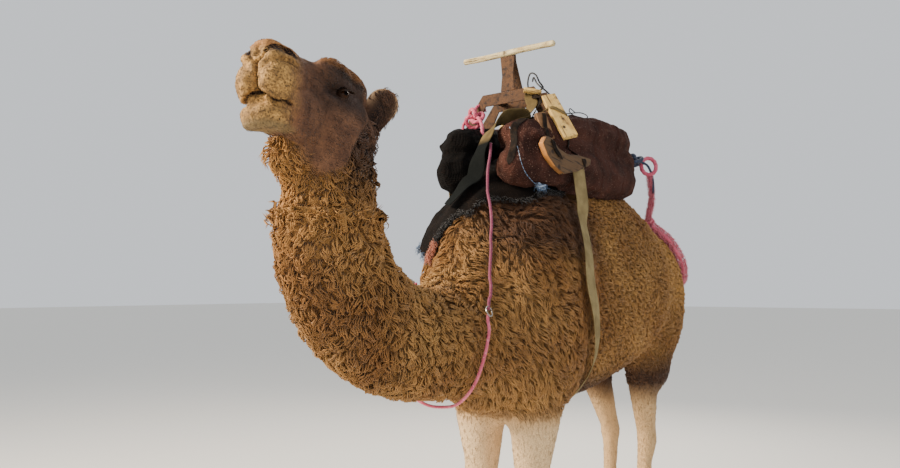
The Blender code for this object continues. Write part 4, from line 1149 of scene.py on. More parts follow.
def horn_material():
    """Nail horn: dark translucent keratin with fine growth lines, scuffed dull."""
    horn, place = shader("nail_horn", Roughness=0.5)
    rings = add(horn, "TexWave", Vector=place, bands_direction="Z", Scale=WAVE / 0.003,
                Distortion=3.0, Detail=2.0)
    wear_and_light = patches(horn, place, 0.008)
    color = paint(horn, paint(horn, "#3A2C22", "#57452F", rings), "#6E5A42", wear_and_light)
    return dressed(horn, color, (rings, 0.0005), (wear_and_light, 0.0004))


def both_sides(points):
    """A line down the left side carried on up the right one."""
    points = np.asarray(points, float)
    return np.vstack([points, points[-2::-1] * (-1, 1, 1)])


def spline(points, step):
    """A smooth line through the points in equal steps: a Catmull-Rom cubic in each span."""
    p = np.vstack([2 * points[0] - points[1], points, 2 * points[-1] - points[-2]])
    t = np.linspace(0, 1, 24, endpoint=False)[:, None]
    spans = [0.5 * (2 * b + (c - a) * t + (2 * a - 5 * b + 4 * c - d) * t ** 2
                    + (3 * b - a - 3 * c + d) * t ** 3)
             for a, b, c, d in zip(p, p[1:], p[2:], p[3:])]
    line = np.vstack([*spans, points[-1:]])
    run = run_of(line)
    at = np.linspace(0, run[-1], max(int(run[-1] / step), 2) + 1)
    return np.stack([np.interp(at, run, line[:, k]) for k in range(3)], axis=1)


def run_of(line):
    """How far each point of a line is from its start, along it."""
    return np.concatenate([[0], np.cumsum(np.linalg.norm(np.diff(line, axis=0), axis=1))])


def across_and_over(line, ups):
    """Ways across a line and over it; without ups one way is carried along it untwisted."""
    along = unit(np.gradient(line, axis=0))
    if ups is None:
        ups = np.empty_like(line)
        up = np.array((0.31, 0.22, 0.93))
        for i, way in enumerate(along):
            up = up - way * (up @ way)
            up = up / np.linalg.norm(up)
            ups[i] = up
    across = unit(np.cross(along, ups))
    return across, np.cross(across, along)


def closed_grid(points, uv=None, loop=False, **values):
    """A closed mesh from rows of points round a line; a fan closes each end, unless it loops.

    points holds rows by columns; uv has one more column, and one more row where it loops.
    """
    rows, around = points.shape[:2]
    ring = np.arange(rows * around).reshape(rows, around)
    if loop:
        ring = np.vstack([ring, ring[:1]])
    after = np.roll(ring, -1, axis=1)
    quads = np.stack([ring[:-1], after[:-1], after[1:], ring[1:]], axis=-1).reshape(-1, 4)
    faces = np.vstack([quads[:, (0, 1, 2)], quads[:, (0, 2, 3)]])
    every = points.reshape(-1, 3)
    if uv is not None:
        corner = np.stack([uv[:-1, :-1], uv[:-1, 1:], uv[1:, 1:], uv[1:, :-1]],
                          axis=-2).reshape(-1, 4, 2)
        corner = np.vstack([corner[:, (0, 1, 2)], corner[:, (0, 2, 3)]])
    if not loop:
        first, last = np.full(around, len(every)), np.full(around, len(every) + 1)
        faces = np.vstack([faces, np.stack([after[0], ring[0], first], axis=1),
                           np.stack([ring[-1], after[-1], last], axis=1)])
        every = np.vstack([every, points[0].mean(axis=0), points[-1].mean(axis=0)])
        if uv is not None:
            ends = [np.stack([uv[k, 1:], uv[k, :-1], uv[k, :-1] + (0, 0.002)], axis=1)
                    for k in (0, -1)]
            corner = np.vstack([corner, *ends])
    a, b, c = (every[faces[:, k]] - every[0] for k in range(3))
    if (a * np.cross(b, c)).sum() < 0:
        faces = faces[:, ::-1]
        corner = corner[:, ::-1] if uv is not None else None
    mesh = mesh_from(every, faces)
    if uv is not None:
        mesh.uv_layers.new(name="weave").data.foreach_set("uv", flat32(corner))
    for key, value in values.items():
        value = value.reshape(rows * around, -1)
        add_values(mesh, **{key: value if loop else np.vstack([value, value[:1], value[-1:]])})
    return mesh


def tube(line, offsets, ups=None, loop=False):
    """Carries a section along a line; the UV map counts metres round it and along it.

    offsets holds, for each point of the line, the section's places across and over it.
    """
    across, over = across_and_over(line, ups)
    offsets = np.broadcast_to(offsets, (len(line), *offsets.shape[-2:]))
    points = (line[:, None] + across[:, None] * offsets[..., :1]
              + over[:, None] * offsets[..., 1:])
    run = run_of(line)
    if loop:
        run = np.append(run, run[-1] + np.linalg.norm(line[0] - line[-1]))
    outline = offsets[len(line) // 2]
    around = run_of(np.vstack([outline, outline[:1]]))
    uv = np.stack(np.broadcast_arrays(around[None], run[:, None]), axis=-1)
    inside = np.concatenate([offsets, np.broadcast_to(
        run[:len(line), None, None], (*offsets.shape[:2], 1))], axis=-1)
    return closed_grid(points, uv, loop, inside=inside)


def round_section(size, count):
    """A round section of this many places, each at its own size from the middle."""
    turn = np.arange(count) * math.pi / (count / 2)
    return np.stack([np.cos(turn), np.sin(turn)], axis=-1) * np.asarray(size)[..., None]


def rope(line, radius, ups=None, loop=False, strands=3, lay=6.5):
    """Laid rope: its radius has a rounded crest over each strand, and the crests wind round.

    The radius is the full one times 0.76 plus 0.24 of the size of a cosine, to the power
    0.7: of half the strands times the angle less the run over the lay, a number of radii.
    """
    run = run_of(line)[:, None]
    turn = np.arange(strands * 5) * 2 * math.pi / (strands * 5)
    lay_length = lay * radius
    if loop:
        whole = run[-1] * len(line) / (len(line) - 1)
        lay_length = whole / max(round(float(whole[0]) / lay_length), 1)
    wave = np.abs(np.cos(strands / 2 * (turn - 2 * math.pi * run / lay_length)))
    size = radius * (0.76 + 0.24 * wave ** 0.7)
    return tube(line, round_section(size, strands * 5), ups, loop)


def flat_outline(width, thickness, columns=9):
    """A strap's section: its two faces and rounded edges, as places across and over."""
    u = np.linspace(-1, 1, columns)
    edge = np.array((0.55, *([1.0] * (columns - 2)), 0.55))
    upper = np.stack([u * width / 2, edge * thickness / 2], axis=1)
    return np.vstack([upper, upper[::-1] * (1, -1)])


def slackened(line, rounds):
    """A line whose inner points move to the mean of themselves, twice, and their neighbours."""
    for _ in range(rounds):
        line[1:-1] = (line[:-2] + 2 * line[1:-1] + line[2:]) / 4
    return line


def laid(points, tree, centre, step, drop):
    """A line through the points, dropped on the tree's outside towards a centre and sunk."""
    line = spline(placed(points), step)
    centre = placed(centre)
    ups = np.empty_like(line)
    for i, p in enumerate(line):
        out = unit(p - centre)
        hit, normal = tree.ray_cast(Vector(centre + out * 2), Vector(-out))[:2]
        if hit is None or np.linalg.norm(np.array(hit) - p) > 0.12:
            hit, normal = tree.find_nearest(Vector(p))[:2]
        line[i], ups[i] = hit, normal if normal.dot(Vector(out)) > 0.2 else out
    ups = unit(slackened(ups, 10))
    return slackened(line, 10) - ups * drop, ups


def eased(node, width):
    """A copy of a node's solid with its edges worn round, and its own axes in "inside"."""
    with working(NODES[node].data) as (mesh, bm):
        bmesh.ops.remove_doubles(bm, verts=bm.verts, dist=1e-5)
        bmesh.ops.dissolve_limit(bm, angle_limit=math.radians(2), verts=bm.verts,
                                 edges=bm.edges)
        sharp = [e for e in bm.edges if len(e.link_faces) == 2 and e.calc_face_angle() > 0.45]
        bmesh.ops.bevel(bm, geom=sharp, offset=width, segments=2, profile=0.6,
                        affect="EDGES", clamp_overlap=True)
        bmesh.ops.triangulate(bm, faces=bm.faces)
        bmesh.ops.recalc_face_normals(bm, faces=bm.faces)
    away = points_of(mesh)
    away = away - away.mean(axis=0)
    add_values(mesh, inside=away @ np.linalg.eigh(away.T @ away)[1])
    mesh.shade_flat()
    return mesh


def fluff(name, line, radius, count, length, width, material):
    """Fine broken threads that stand off a rope or band all round."""
    at = DRAWS.uniform(0, len(line) - 1.01, count)
    low = at.astype(int)
    way = unit(DRAWS.normal(0, 1, (count, 3)))
    along = unit(np.gradient(line, axis=0))[low]
    out = unit(way - along * (way * along).sum(axis=1)[:, None])
    start = line[low] + (line[low + 1] - line[low]) * (at - low)[:, None]
    start = start + out * np.broadcast_to(radius, (count,))[:, None] * 0.8
    s = ALONG_LOCK
    reach = length * DRAWS.uniform(0.4, 1.0, (count, 1, 1))
    curl = 0.25 * np.sin(DRAWS.random((count, 1, 3)) * FULL_TURN + 5 * s)
    drift = along * DRAWS.uniform(-0.8, 0.8, (count, 1)) + np.array((0, 0, -0.35))
    spine = start[:, None] + (out[:, None] * (s - 0.45 * s ** 2) + drift[:, None] * s
                              + curl * s) * reach
    locks = lock_rings(spine, out, np.full(count, width), 0.8)
    return coat_piece(name, locks, np.full((count, 2), 0.5), DRAWS.uniform(-1, 1, count),
                      material)


# -------------------------------------------------------------- gear materials

def coarse_cloth(name, dark, light, speck, thread, black_front=False):
    """Hand-woven hemp and wool: rough and dusty, thick uneven threads, faded and soiled.

    With black_front the right side's front is covered with a black cloth of the same weave,
    painted nearly black, partly as painted shade.
    """
    cloth, place = shader(name, Roughness=0.95, Specular_IOR_Level=0.1)
    weft, warp = (add(cloth, "TexWave", Vector=place, bands_direction=way, Scale=WAVE / thread,
                      Distortion=2.5, Detail=2.0, Detail_Scale=2.0) for way in "YZ")
    weave = add(cloth, "Math", operation="MULTIPLY", i0=weft, i1=warp)
    color = paint(cloth, dark, light, patches(cloth, place, 0.07, 0.35, 0.70, 4.0))
    color = paint(cloth, color, light, patches(cloth, place, 0.009, 0.45, 0.70), weave)
    color = paint(cloth, color, speck, patches(cloth, place, 0.0045, 0.68, 0.74, 1.0))
    color = paint(cloth, color, speck, patches(cloth, place, 0.030, 0.64, 0.80, 5.0),
                  patches(cloth, place, 0.004, 0.45, 0.6))
    # the black cloth on the right front, made nearly black, partly as painted shade
    if black_front:
        spot = add(cloth, "SeparateXYZ", Vector=place).node.outputs
        right = add(cloth, "MapRange", Value=spot["X"], From_Min=-0.020, From_Max=-0.026)
        front = add(cloth, "MapRange", Value=spot["Y"], From_Min=-0.010, From_Max=-0.018)
        black_in_shade = paint(cloth, "#0B0908", "#211712", patches(cloth, place, 0.012, 0.4, 0.7),
                       weave)
        color = paint(cloth, color, black_in_shade, right, front)
    lint = add(cloth, "TexNoise", Vector=place, Scale=350.0, Detail=2.0)
    return dressed(cloth, color, (weave, 0.0034), (lint, 0.0022))


def webbing(name, dark, light, rib, pick, shaded_below=0.0):
    """Woven strap: ribs along it, a pick across each, worn, and painted shade, nearly black, below
    a given height.
    """
    strap, place = shader(name, Roughness=0.9, Specular_IOR_Level=0.1)
    weave = add(strap, "UVMap", uv_map="weave")
    ribs = add(strap, "TexWave", Vector=weave, bands_direction="X", Scale=WAVE / rib)
    picks = add(strap, "TexWave", Vector=weave, bands_direction="Y", Scale=WAVE / pick,
                Distortion=1.0)
    cloth = add(strap, "Math", operation="MULTIPLY", i0=ribs, i1=picks)
    height = add(strap, "SeparateXYZ", "Z", Vector=place)
    color = paint(strap, dark, light, patches(strap, place, 0.05, 0.35, 0.65, 4.0))
    for tint, mask in (
            (dark, add(strap, "MapRange", Value=cloth, From_Min=0.5, From_Max=0.0, To_Max=0.7)),
            # painted shade: nearly black below the given height
            ("#0D100F", add(strap, "MapRange", Value=height, From_Min=shaded_below + 0.012,
                            From_Max=shaded_below - 0.012))):
        color = paint(strap, color, tint, mask)
    return dressed(strap, color, (cloth, 0.0014),
                   (patches(strap, place, 0.012, 0.3, 0.7), 0.0010))


def fibre_rope(name, dark, light, fleck):
    """Laid plastic-fibre rope: fine bright fibres along the strands, soiled, a slight gloss."""
    cord, place = shader(name, Roughness=0.62, Sheen_Weight=0.3, Sheen_Roughness=0.4)
    drawn = add(cord, "Mapping", Vector=add(cord, "UVMap", uv_map="weave"),
                Rotation=(0, 0, 0.5), Scale=(1, 0.15, 1))
    fibre = add(cord, "TexNoise", Vector=drawn, Scale=1400.0, Detail=1.0)
    color = paint(cord, dark, light, patches(cord, place, 0.035, 0.3, 0.7, 3.0))
    color = paint(cord, color, dark, add(cord, "MapRange", Value=fibre, From_Min=0.55,
                                         From_Max=0.40, To_Max=0.6))
    color = paint(cord, color, fleck, patches(cord, place, 0.006, 0.66, 0.72))
    return dressed(cord, color, (fibre, 0.0008))


def loose_fibre(name, dark, light, **values):
    """Hair or frayed thread ends, matt and a little soft, paler at their tips."""
    fibre, _ = shader(name, **values)
    along = add(fibre, "Attribute", "Fac", attribute_name="along")
    return dressed(fibre, paint(fibre, dark, light, along))


def weathered_wood(name, light, dark, stain, wear_and_light=None):
    """Dry unvarnished softwood: grain along the board, grey checks, knots and hand grime.

    Where a lit colour is given, the faces turned forward, to the left and a little down are
    painted in it: painted light.
    """
    wood, _ = shader(name, Roughness=0.78)
    inside = add(wood, "Attribute", "Vector", attribute_name="inside")
    drawn = add(wood, "Mapping", Vector=inside, Scale=(1, 1, 0.07))
    grain = add(wood, "TexNoise", Vector=drawn, Scale=420.0, Detail=3.0)
    rings = add(wood, "TexWave", Vector=drawn, bands_direction="X", Scale=WAVE / 0.007,
                Distortion=5.0, Detail=2.0)
    checks = add(wood, "TexNoise", Vector=drawn, Scale=170.0, Detail=2.0)
    checks = add(wood, "MapRange", Value=checks, From_Min=0.60, From_Max=0.67)
    knots = add(wood, "TexVoronoi", "Distance", Vector=inside, Scale=1 / 0.055)
    knots = add(wood, "MapRange", Value=knots, From_Min=0.16, From_Max=0.08)
    color = paint(wood, light, dark, rings, patches(wood, inside, 0.03, 0.35, 0.65))
    for tint, mask in (
            (dark, add(wood, "MapRange", Value=grain, From_Min=0.55, From_Max=0.75)),
            (stain, patches(wood, inside, 0.022, 0.55, 0.72, 4.0)),
            (stain, checks), ("#2A1B10", knots)):
        color = paint(wood, color, tint, mask)
    # painted light: faces turned forward, left and a little down take the lit colour
    if wear_and_light:
        facing = add(wood, "VectorMath", "Value", operation="DOT_PRODUCT",
                     i0=add(wood, "NewGeometry", "Normal"), i1=(-0.45, -0.86, -0.25))
        color = paint(wood, color, wear_and_light, add(wood, "MapRange", Value=facing, From_Min=0.50,
                                             From_Max=0.72))
    return dressed(wood, color, (grain, 0.0008), (checks, -0.0016), (knots, -0.0020))


def rusty_iron():
    """Forged flat iron rusted all over: orange-brown scale over darker pits, no shine left."""
    iron, place = shader("rusty_iron", Roughness=0.85, Metallic=0.15)
    color = paint(iron, "#45301F", "#5B3C22", patches(iron, place, 0.030, 0.3, 0.7, 4.0))
    color = paint(iron, color, "#281A12", patches(iron, place, 0.014, 0.50, 0.66, 4.0))
    color = paint(iron, color, "#744B28", patches(iron, place, 0.0035, 0.62, 0.72))
    scale = add(iron, "TexNoise", Vector=place, Scale=260.0, Detail=4.0)
    return dressed(iron, color, (scale, 0.0014),
                   (patches(iron, place, 0.012, 0.5, 0.7), -0.0008))


def dark_leather():
    """Old strap leather: nearly black brown, greasy, cracked across, worn pale in spots."""
    hide, place = shader("old_strap_leather", Roughness=0.7, Specular_IOR_Level=0.1)
    cells = add(hide, "TexVoronoi", "Distance", Vector=place, feature="DISTANCE_TO_EDGE",
                Scale=1 / 0.004)
    color = paint(hide, "#17110D", "#2F2217", patches(hide, place, 0.014, 0.45, 0.75, 4.0))
    return dressed(hide, color, (cells, 0.0012), (patches(hide, place, 0.02, 0.3, 0.7), 0.0012))


def black_wire():
    """Plastic-covered binding wire, smooth and slightly glossy, dusty."""
    wire, place = shader("black_covered_wire", Roughness=0.4)
    dust = patches(wire, place, 0.01, 0.5, 0.8)
    return dressed(wire, paint(wire, "#17181C", "#3B3730", dust))


def worn_steel():
    """A plated steel hook worn by the rope: bright, with dull scratches."""
    steel, place = shader("worn_steel", Roughness=0.35, Metallic=1.0)
    scuffs = patches(steel, place, 0.003, 0.45, 0.65)
    return dressed(steel, paint(steel, "#B9B6AE", "#6E655A", scuffs), (scuffs, 0.0003))


# ------------------------------------------------------------ the saddle's gear

SEAMS = (0.06, 0.27, 0.50)       # where the rolls are stitched through, behind the forefeet


def make_pads(material, thread):
    """The two stuffed rolls: crowned, drawn in at their seams, creased, one bulge in front."""
    with working() as (bulge, bm):
        for middle_of, sizes in STUFFING:
            for side in (1, -1):
                add_ball(bm, placed(np.multiply(middle_of, (side, 1, 1))),
                         np.array(sizes) / 1000, fineness=4)
    raw = remeshed(joined(flesh_mesh(("cushion_lower", "cushion_upper"), 0.0012), bulge),
                   0.0070)
    ends = edges_of(raw)
    points = evened(points_of(raw), ends, 8)
    soft = ramp((points - SHIFT)[:, 1], 0.06, -0.06)[:, None]
    points = points + (averaged(points, ends, 14) - points) * soft
    local = points - SHIFT
    gathers = np.zeros(len(points))
    for seam in SEAMS:
        off = local[:, 1] - seam - 0.006 * noise(local, 0.08, 8)
        gathers += bell(off, 0.010) * -0.0055
        gathers += bell(off, 0.05) * 0.0028 * noise(local * (1, 0.25, 1), 0.016, 9)
    creases = 0.40 - np.abs(noise(local * (1, 1, 0.5), 0.050, 12))
    fine = 0.40 - np.abs(noise(local * (1, 0.6, 1), 0.020, 13))
    lift = gathers + 0.0075 * creases + 0.0034 * fine + 0.0050 * noise(local, 0.09, 14) - 0.0030
    set_points(raw, points + normals_of(points, triangles_of(raw)) * lift[:, None])
    pad = finished("saddle_pad", raw, material, "cushion_lower", "cushion_upper")
    tree = tree_from(points_of(raw), triangles_of(raw))
    line, ups = laid(STITCHING, tree, (50, 100, 1930), 0.002, -0.0006)
    dash = 0.0011 * (0.35 + 0.65 * (np.sin(run_of(line) * 2 * math.pi / 0.016) > -0.3))
    added("stitching_front", tube(line, round_section(dash[:, None], 6), ups), thread)
    return tree


STUFFING = (
    # middle and half sizes of what fills the rolls out where they meet
    ((142, -75, 1915), (62, 112, 82)),
    ((200, 330, 1950), (50, 480, 52)),
    ((155, 690, 1968), (85, 115, 74)),
)
STITCHING = ((130, -190, 1975), (160, -185, 1900), (175, -160, 1820), (190, -110, 1775))


def make_cloth(material, trim, tuft, dark):
    """The black cloth under the saddle: a sheet laid over the withers, with a frayed trim."""
    tree = tree_of("saddle_cloth")
    rows, columns = 44, 60
    grid = np.empty((rows, columns, 3))
    outs = np.empty_like(grid)
    for i, y in enumerate(np.linspace(-0.273, 0.098, rows)):
        near_edge = 29.5 - 24 * ramp(np.array(-y), 0.10, 0.273)
        for j, turn in enumerate(np.radians(np.linspace(-59.5, near_edge, columns))):
            out = Vector((math.sin(turn), 0, math.cos(turn)))
            start = Vector(SHIFT + (0, y, 1.42)) + out * 2
            grid[i, j], outs[i, j] = tree.ray_cast(start, -out)[0], out
    flat = grid.reshape(-1, 3)
    ruck = 0.006 + 0.006 * noise(flat * (1, 0.5, 1), 0.06, 15) + 0.003 * noise(flat, 0.02, 16)
    inset = np.minimum(np.arange(rows)[:, None] / 3, (columns - 1 - np.arange(columns)) / 3)
    ruck += 0.012 * bell(inset, 1).ravel()
    flat = flat - outs.reshape(-1, 3) * ruck[:, None]
    grid = flat.reshape(rows, columns, 3)
    index = np.arange(rows * columns).reshape(rows, columns)
    faces = np.stack([index[:-1, :-1], index[1:, :-1], index[1:, 1:], index[:-1, 1:]], axis=-1)
    faces = faces.reshape(-1, 4)
    cloth = finished("saddle_cloth_black", mesh_from(flat, faces[:, ::-1]), material,
                     "saddle_cloth")
    wall = cloth.modifiers.new("thickness", "SOLIDIFY")
    wall.thickness = 0.007
    wall.offset = -1.0
    near = np.vstack([grid[0, 20:], grid[1:, -1]])
    # the near hem takes the nearly black fibre: painted shade along the cloth's near edges
    fringes = [fluff(name, line, radius, count, length, width, kind)
               for name, line, radius, count, length, width, kind in (
                   ("cloth_fray", grid[0, :22], 0.005, 420, 0.022, 0.0018, trim),
                   ("cloth_tufts", grid[:24, 0], 0.004, 260, 0.030, 0.0016, tuft),
                   ("cloth_hem", near, 0.004, 1100, 0.022, 0.0016, dark))]
    return tree_from(flat, faces)


def make_irons(material):
    for node in ("frame_arch_front", "frame_arch_rear", "frame_riser", "frame_brace",
                 "frame_tie_left", "frame_tie_right"):
        finished(node + "_iron", eased(node, 0.0011), material, node)


def make_boards(pale, brown, wear_and_light):
    for side in ("left", "right"):
        for kind, wood, width in (("pale", pale, 0.0022), ("brown", brown, 0.0030),
                                  ("paddle", wear_and_light, 0.0070)):
            node = f"board_{kind}_{side}"
            finished(node + "_wood", eased(node, width), wood, node)


def make_grip(material):
    """A round pole, a little crooked and worn: its radius wanders along it and round it."""
    low, high = (np.array(corner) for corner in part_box("grip_bar"))
    centre = (low + high) / 2
    rows, around = 90, 24
    line = np.linspace((low[0], *centre[1:]), (high[0], *centre[1:]), rows)
    line[:, 2] += 0.0012 * np.sin(line[:, 0] * 19)
    radius = (high[2] - low[2]) / 2 - 0.0014
    x = np.broadcast_to(line[:, None, :1] * 0.4, (rows, around, 1))
    circle = np.broadcast_to(round_section(0.02, around), (rows, around, 2))
    rough = noise(np.concatenate([x, circle], axis=-1).reshape(-1, 3), 0.012, 18)
    ends = np.sqrt(np.clip(1 - np.clip(np.abs(line[:, 0] - centre[0]) - 0.196, 0, 1) ** 2
                           / 0.0050 ** 2, 0.3, 1))
    size = (radius + 0.0008 * rough.reshape(rows, around)) * ends[:, None]
    finished("grip_pole", tube(line, round_section(size, around)), material, "grip_bar")


def wound(centre, radii, radius):
    """A rope knot: a closed trefoil whose three lobes cross, pressed into the given half sizes.

    Its line goes twice round while it goes three times in and out and up and down.
    """
    t = np.linspace(0, 2 * math.pi, 120, endpoint=False)
    reach = 0.62 + 0.38 * np.cos(3 * t)
    line = np.stack([reach * np.cos(2 * t), 0.9 * np.sin(3 * t), reach * np.sin(2 * t)], axis=1)
    line = np.asarray(centre) + line * (np.asarray(radii) - radius)
    return rope(line, radius, unit(line - centre), loop=True)


class Trees:
    """Several surfaces asked as one: the hit nearest to where the ray starts."""

    def __init__(self, *trees):
        self.trees = trees

    def ray_cast(self, start, way, reach=9.0):
        hits = [tree.ray_cast(start, way, reach) for tree in self.trees]
        return min(hits, key=lambda hit: 99.0 if hit[0] is None else hit[3])

    def find_nearest(self, place):
        return min((tree.find_nearest(place) for tree in self.trees), key=lambda hit: hit[3])


def lengthened(line, ups, before, after=None):
    """A laid line with free stretches through more points before and after it."""
    head = spline(np.vstack([placed(before), line[4:5]]), 0.004)[:-1]
    tail = spline(np.vstack([line[-3:-2], placed(after)]), 0.004)[1:] if after else line[:0]
    kept = slice(4, -2 if after else None)
    ups = np.vstack([np.repeat(ups[:1], len(head), axis=0), ups[kept],
                     np.repeat(ups[-1:], len(tail), axis=0)])
    return slackened(np.vstack([head, line[kept], tail]), 4), ups


def make_ropes(pink, pink_in_shade, navy, fluffy):
    """The breast ropes, the crupper's ropes, ring and band, and the knots."""
    for node, points, centre, free, kind in (
            # the upper breast rope takes the darker copy of the pink rope: painted shade
            ("breast_rope_upper", BREAST_ROPE_UPPER, (0, -200, 1450),
             (BREAST_ROPE_TOP, CLIP[:2]), pink_in_shade),
            ("breast_rope_lower", BREAST_ROPE_LOWER, (0, -350, 1300), (CLIP[2:],), pink)):
        line, ups = laid(points, tree_of(node), centre, 0.004, 0.0050)
        line, ups = lengthened(line, ups, *free)
        finished(node + "_laid", rope(line, 0.0052, ups), kind, node)
    left = spline(placed(CRUPPER_ROPE), 0.004)
    start = placed(np.array(CRUPPER_ROPE[-1]) * (-1, 1, 1))
    way = unit(placed((-190, 800, 1875)) - start)
    far = (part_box("crupper_rope_right")[0][1] + 0.003 - start[1]) / way[1]
    right = start + way * np.linspace(0, far, 40)[:, None]
    t = np.linspace(0, 2 * math.pi, 72, endpoint=False)[:, None]
    face = unit(np.array((0.55, -0.80, 0.15)))
    across = unit(np.cross((0, 0, 1), face))
    hoop = placed(CRUPPER_RING) + (0.034 * across * np.cos(t)
                                   + 0.040 * np.cross(face, across) * np.sin(t))
    for node, mesh in (
            ("crupper_rope_left", rope(left, 0.0092)),
            ("crupper_rope_right", rope(right, 0.0066)),
            ("crupper_ring", rope(hoop, 0.0100, np.broadcast_to(face, hoop.shape), loop=True))):
        finished(node + "_laid", mesh, pink, node)
    band, ups = laid(both_sides(CRUPPER), tree_of("crupper_band"), (0, 1100, 1520), 0.006,
                     0.003)
    swell = 1 + 0.12 * np.sin(run_of(band) * 60)[:, None, None]
    finished("crupper_band_soft", tube(band, flat_outline(0.046, 0.0170) * swell, ups), pink,
             "crupper_band")
    fluff("crupper_fluff", band, 0.019, 7000, 0.022, 0.0032, fluffy)
    fluff("crupper_rope_fluff", left, 0.010, 1300, 0.020, 0.0024, fluffy)
    for node, size, kind in (("knot_pink", 0.0085, pink), ("knot_navy", 0.0095, navy)):
        low, high = (np.array(corner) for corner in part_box(node))
        finished(node + "_wound", wound((low + high) / 2, (high - low) / 2 * 1.15, size), kind,
                 node)
    for i, (points, size, slot) in enumerate(LOOSE_ENDS):
        line = spline(placed(points), 0.003)
        name = f"rope_end_{i + 1}"
        added(name, rope(line, size), navy if slot == "knot_navy" else pink)
        fluff(name + "_fray", line[-4:], size * 0.5, 40, 0.016, 0.0010, fluffy)


CRUPPER_RING = (232, 925, 1985)
CRUPPER_ROPE = ((235, 928, 1944), (232, 955, 1885), (221, 985, 1832), (199, 1009, 1768),
                (191, 1019, 1742))
BREAST_ROPE_TOP = ((50, -178, 1925), (61, -200, 1880), (62, -218, 1820))
# The rope ends at the clip's ring, above and below it
CLIP = ((172, -393, 1366), (175.5, -400, 1350), (177, -404, 1336), (180, -412, 1322))
CRUPPER = ((228, 1010, 1800), (240, 1080, 1720), (258, 1160, 1620), (262, 1240, 1540),
           (225, 1330, 1470), (130, 1410, 1430), (0, 1440, 1420))
BREAST_ROPE_UPPER = ((60, -215, 1770), (95, -256, 1645), (118, -296, 1542), (140, -340, 1440),
                     (168, -385, 1376))
BREAST_ROPE_LOWER = ((183, -420, 1310), (180, -440, 1230), (150, -445, 1140), (75, -430, 1065),
                     (0, -425, 1050), (-75, -430, 1065), (-150, -445, 1140), (-180, -440, 1230),
                     (-183, -420, 1310), (-168, -385, 1376), (-145, -345, 1435))
BREAST_BAND = ((95, -15, 2040), (72, -90, 2000), (35, -165, 1930), (-10, -215, 1850),
               (-48, -245, 1765), (-78, -262, 1705))
GIRTH = ((275, 60, 1820), (285, 70, 1760), (271, 82, 1680), (300, 60, 1560), (322, 35, 1470),
         (325, 62, 1370), (305, 140, 1220), (250, 210, 1075), (140, 240, 965), (0, 240, 945))
LOOSE_ENDS = (
    # points, radius and slot of the short ends that hang from the knots and ties
    (((-150, -10, 2085), (-172, -20, 2050), (-168, -30, 2010), (-176, -34, 1985)), 0.0060,
     "knot_pink"),
    (((-120, -6, 2080), (-98, -16, 2062), (-82, -26, 2030), (-78, -30, 1995)), 0.0072,
     "knot_pink"),
    (((-130, 0, 2090), (-135, 18, 2125), (-120, 46, 2135), (-112, 40, 2110)), 0.0060, "knot_pink"),
    (((205, 890, 2005), (232, 915, 1985), (246, 935, 1930), (243, 952, 1860)), 0.0060,
     "knot_navy"),
)


def make_straps(olive, khaki, leather, pads):
    """The girth, the band over the withers, the leather straps and the olive loop."""
    line, ups = laid(both_sides(GIRTH), tree_of("girth_strap"), (0, 170, 1450), 0.006, 0.0022)
    low = line[:, 2] < GIRTH_FALL[-1][2] / 1000 - 0.02
    falls = [spline(placed(np.array(GIRTH_FALL) * (side, 1, 1)), 0.006) for side in (1, -1)]
    hung = [np.broadcast_to(unit(np.array((side, -0.25, 0.15))), fall.shape)
            for side, fall in zip((1, -1), falls)]
    line = slackened(np.vstack([falls[0], line[low], falls[1][::-1]]), 6)
    ups = np.vstack([hung[0], ups[low], hung[1]])
    for _ in range(6):
        ups[1:-1] = unit(ups[:-2] + 2 * ups[1:-1] + ups[2:])
    finished("girth_webbing", tube(line, flat_outline(0.066, 0.0036, 13), ups), khaki,
             "girth_strap")
    line, ups = laid(BREAST_BAND, tree_of("breast_band"), (0, -100, 1450), 0.006, 0.0022)
    finished("withers_webbing", tube(line, flat_outline(0.072, 0.0038, 13), ups), olive,
             "breast_band")
    over = Trees(tree_of("frame_arch_front", "frame_arch_rear", "board_pale_left",
                         "board_brown_left", "board_paddle_left", "frame_tie_left"), pads)
    for i, (points, width, lift, kind) in enumerate(LAID_STRAPS):
        line, ups = laid(points, over, (20, 50, 1930), 0.004, -lift)
        taper = 1 - ramp(np.linspace(0, 1, len(line)), 0.93, 1.01)[:, None, None] * 0.8
        added(f"strap_{i + 1}", tube(line, flat_outline(width, 0.0030) * taper, ups),
              {"leather": leather, "olive": olive}[kind])


GIRTH_FALL = ((270, 46, 1868), (277, 50, 1845), (279, 56, 1810), (280, 64, 1770), (282, 72, 1730),
              (279, 80, 1690))
LAID_STRAPS = (
    # points, width, how far over what it lies on, and what it is made of
    (((142, -100, 2010), (160, -206, 1977), (172, -225, 1915), (168, -246, 1850),
      (160, -250, 1822)), 0.026, 0.002, "leather"),
    (((120, 10, 2150), (175, 45, 2080), (238, 50, 2000), (280, 52, 1900), (283, 56, 1850)), 0.020,
     0.003, "leather"),
    (((110, -20, 2130), (190, -50, 2060), (232, -85, 1990), (262, -100, 1905), (276, -60, 1860)),
     0.016, 0.005, "leather"),
    (((100, 26, 2150), (100, -20, 2100), (94, -60, 2060), (104, -90, 2030)), 0.048, 0.003,
     "olive"),
    (((150, -40, 2070), (185, -10, 2050), (226, 30, 2010), (245, 110, 1985)), 0.012, 0.006,
     "olive"),
)


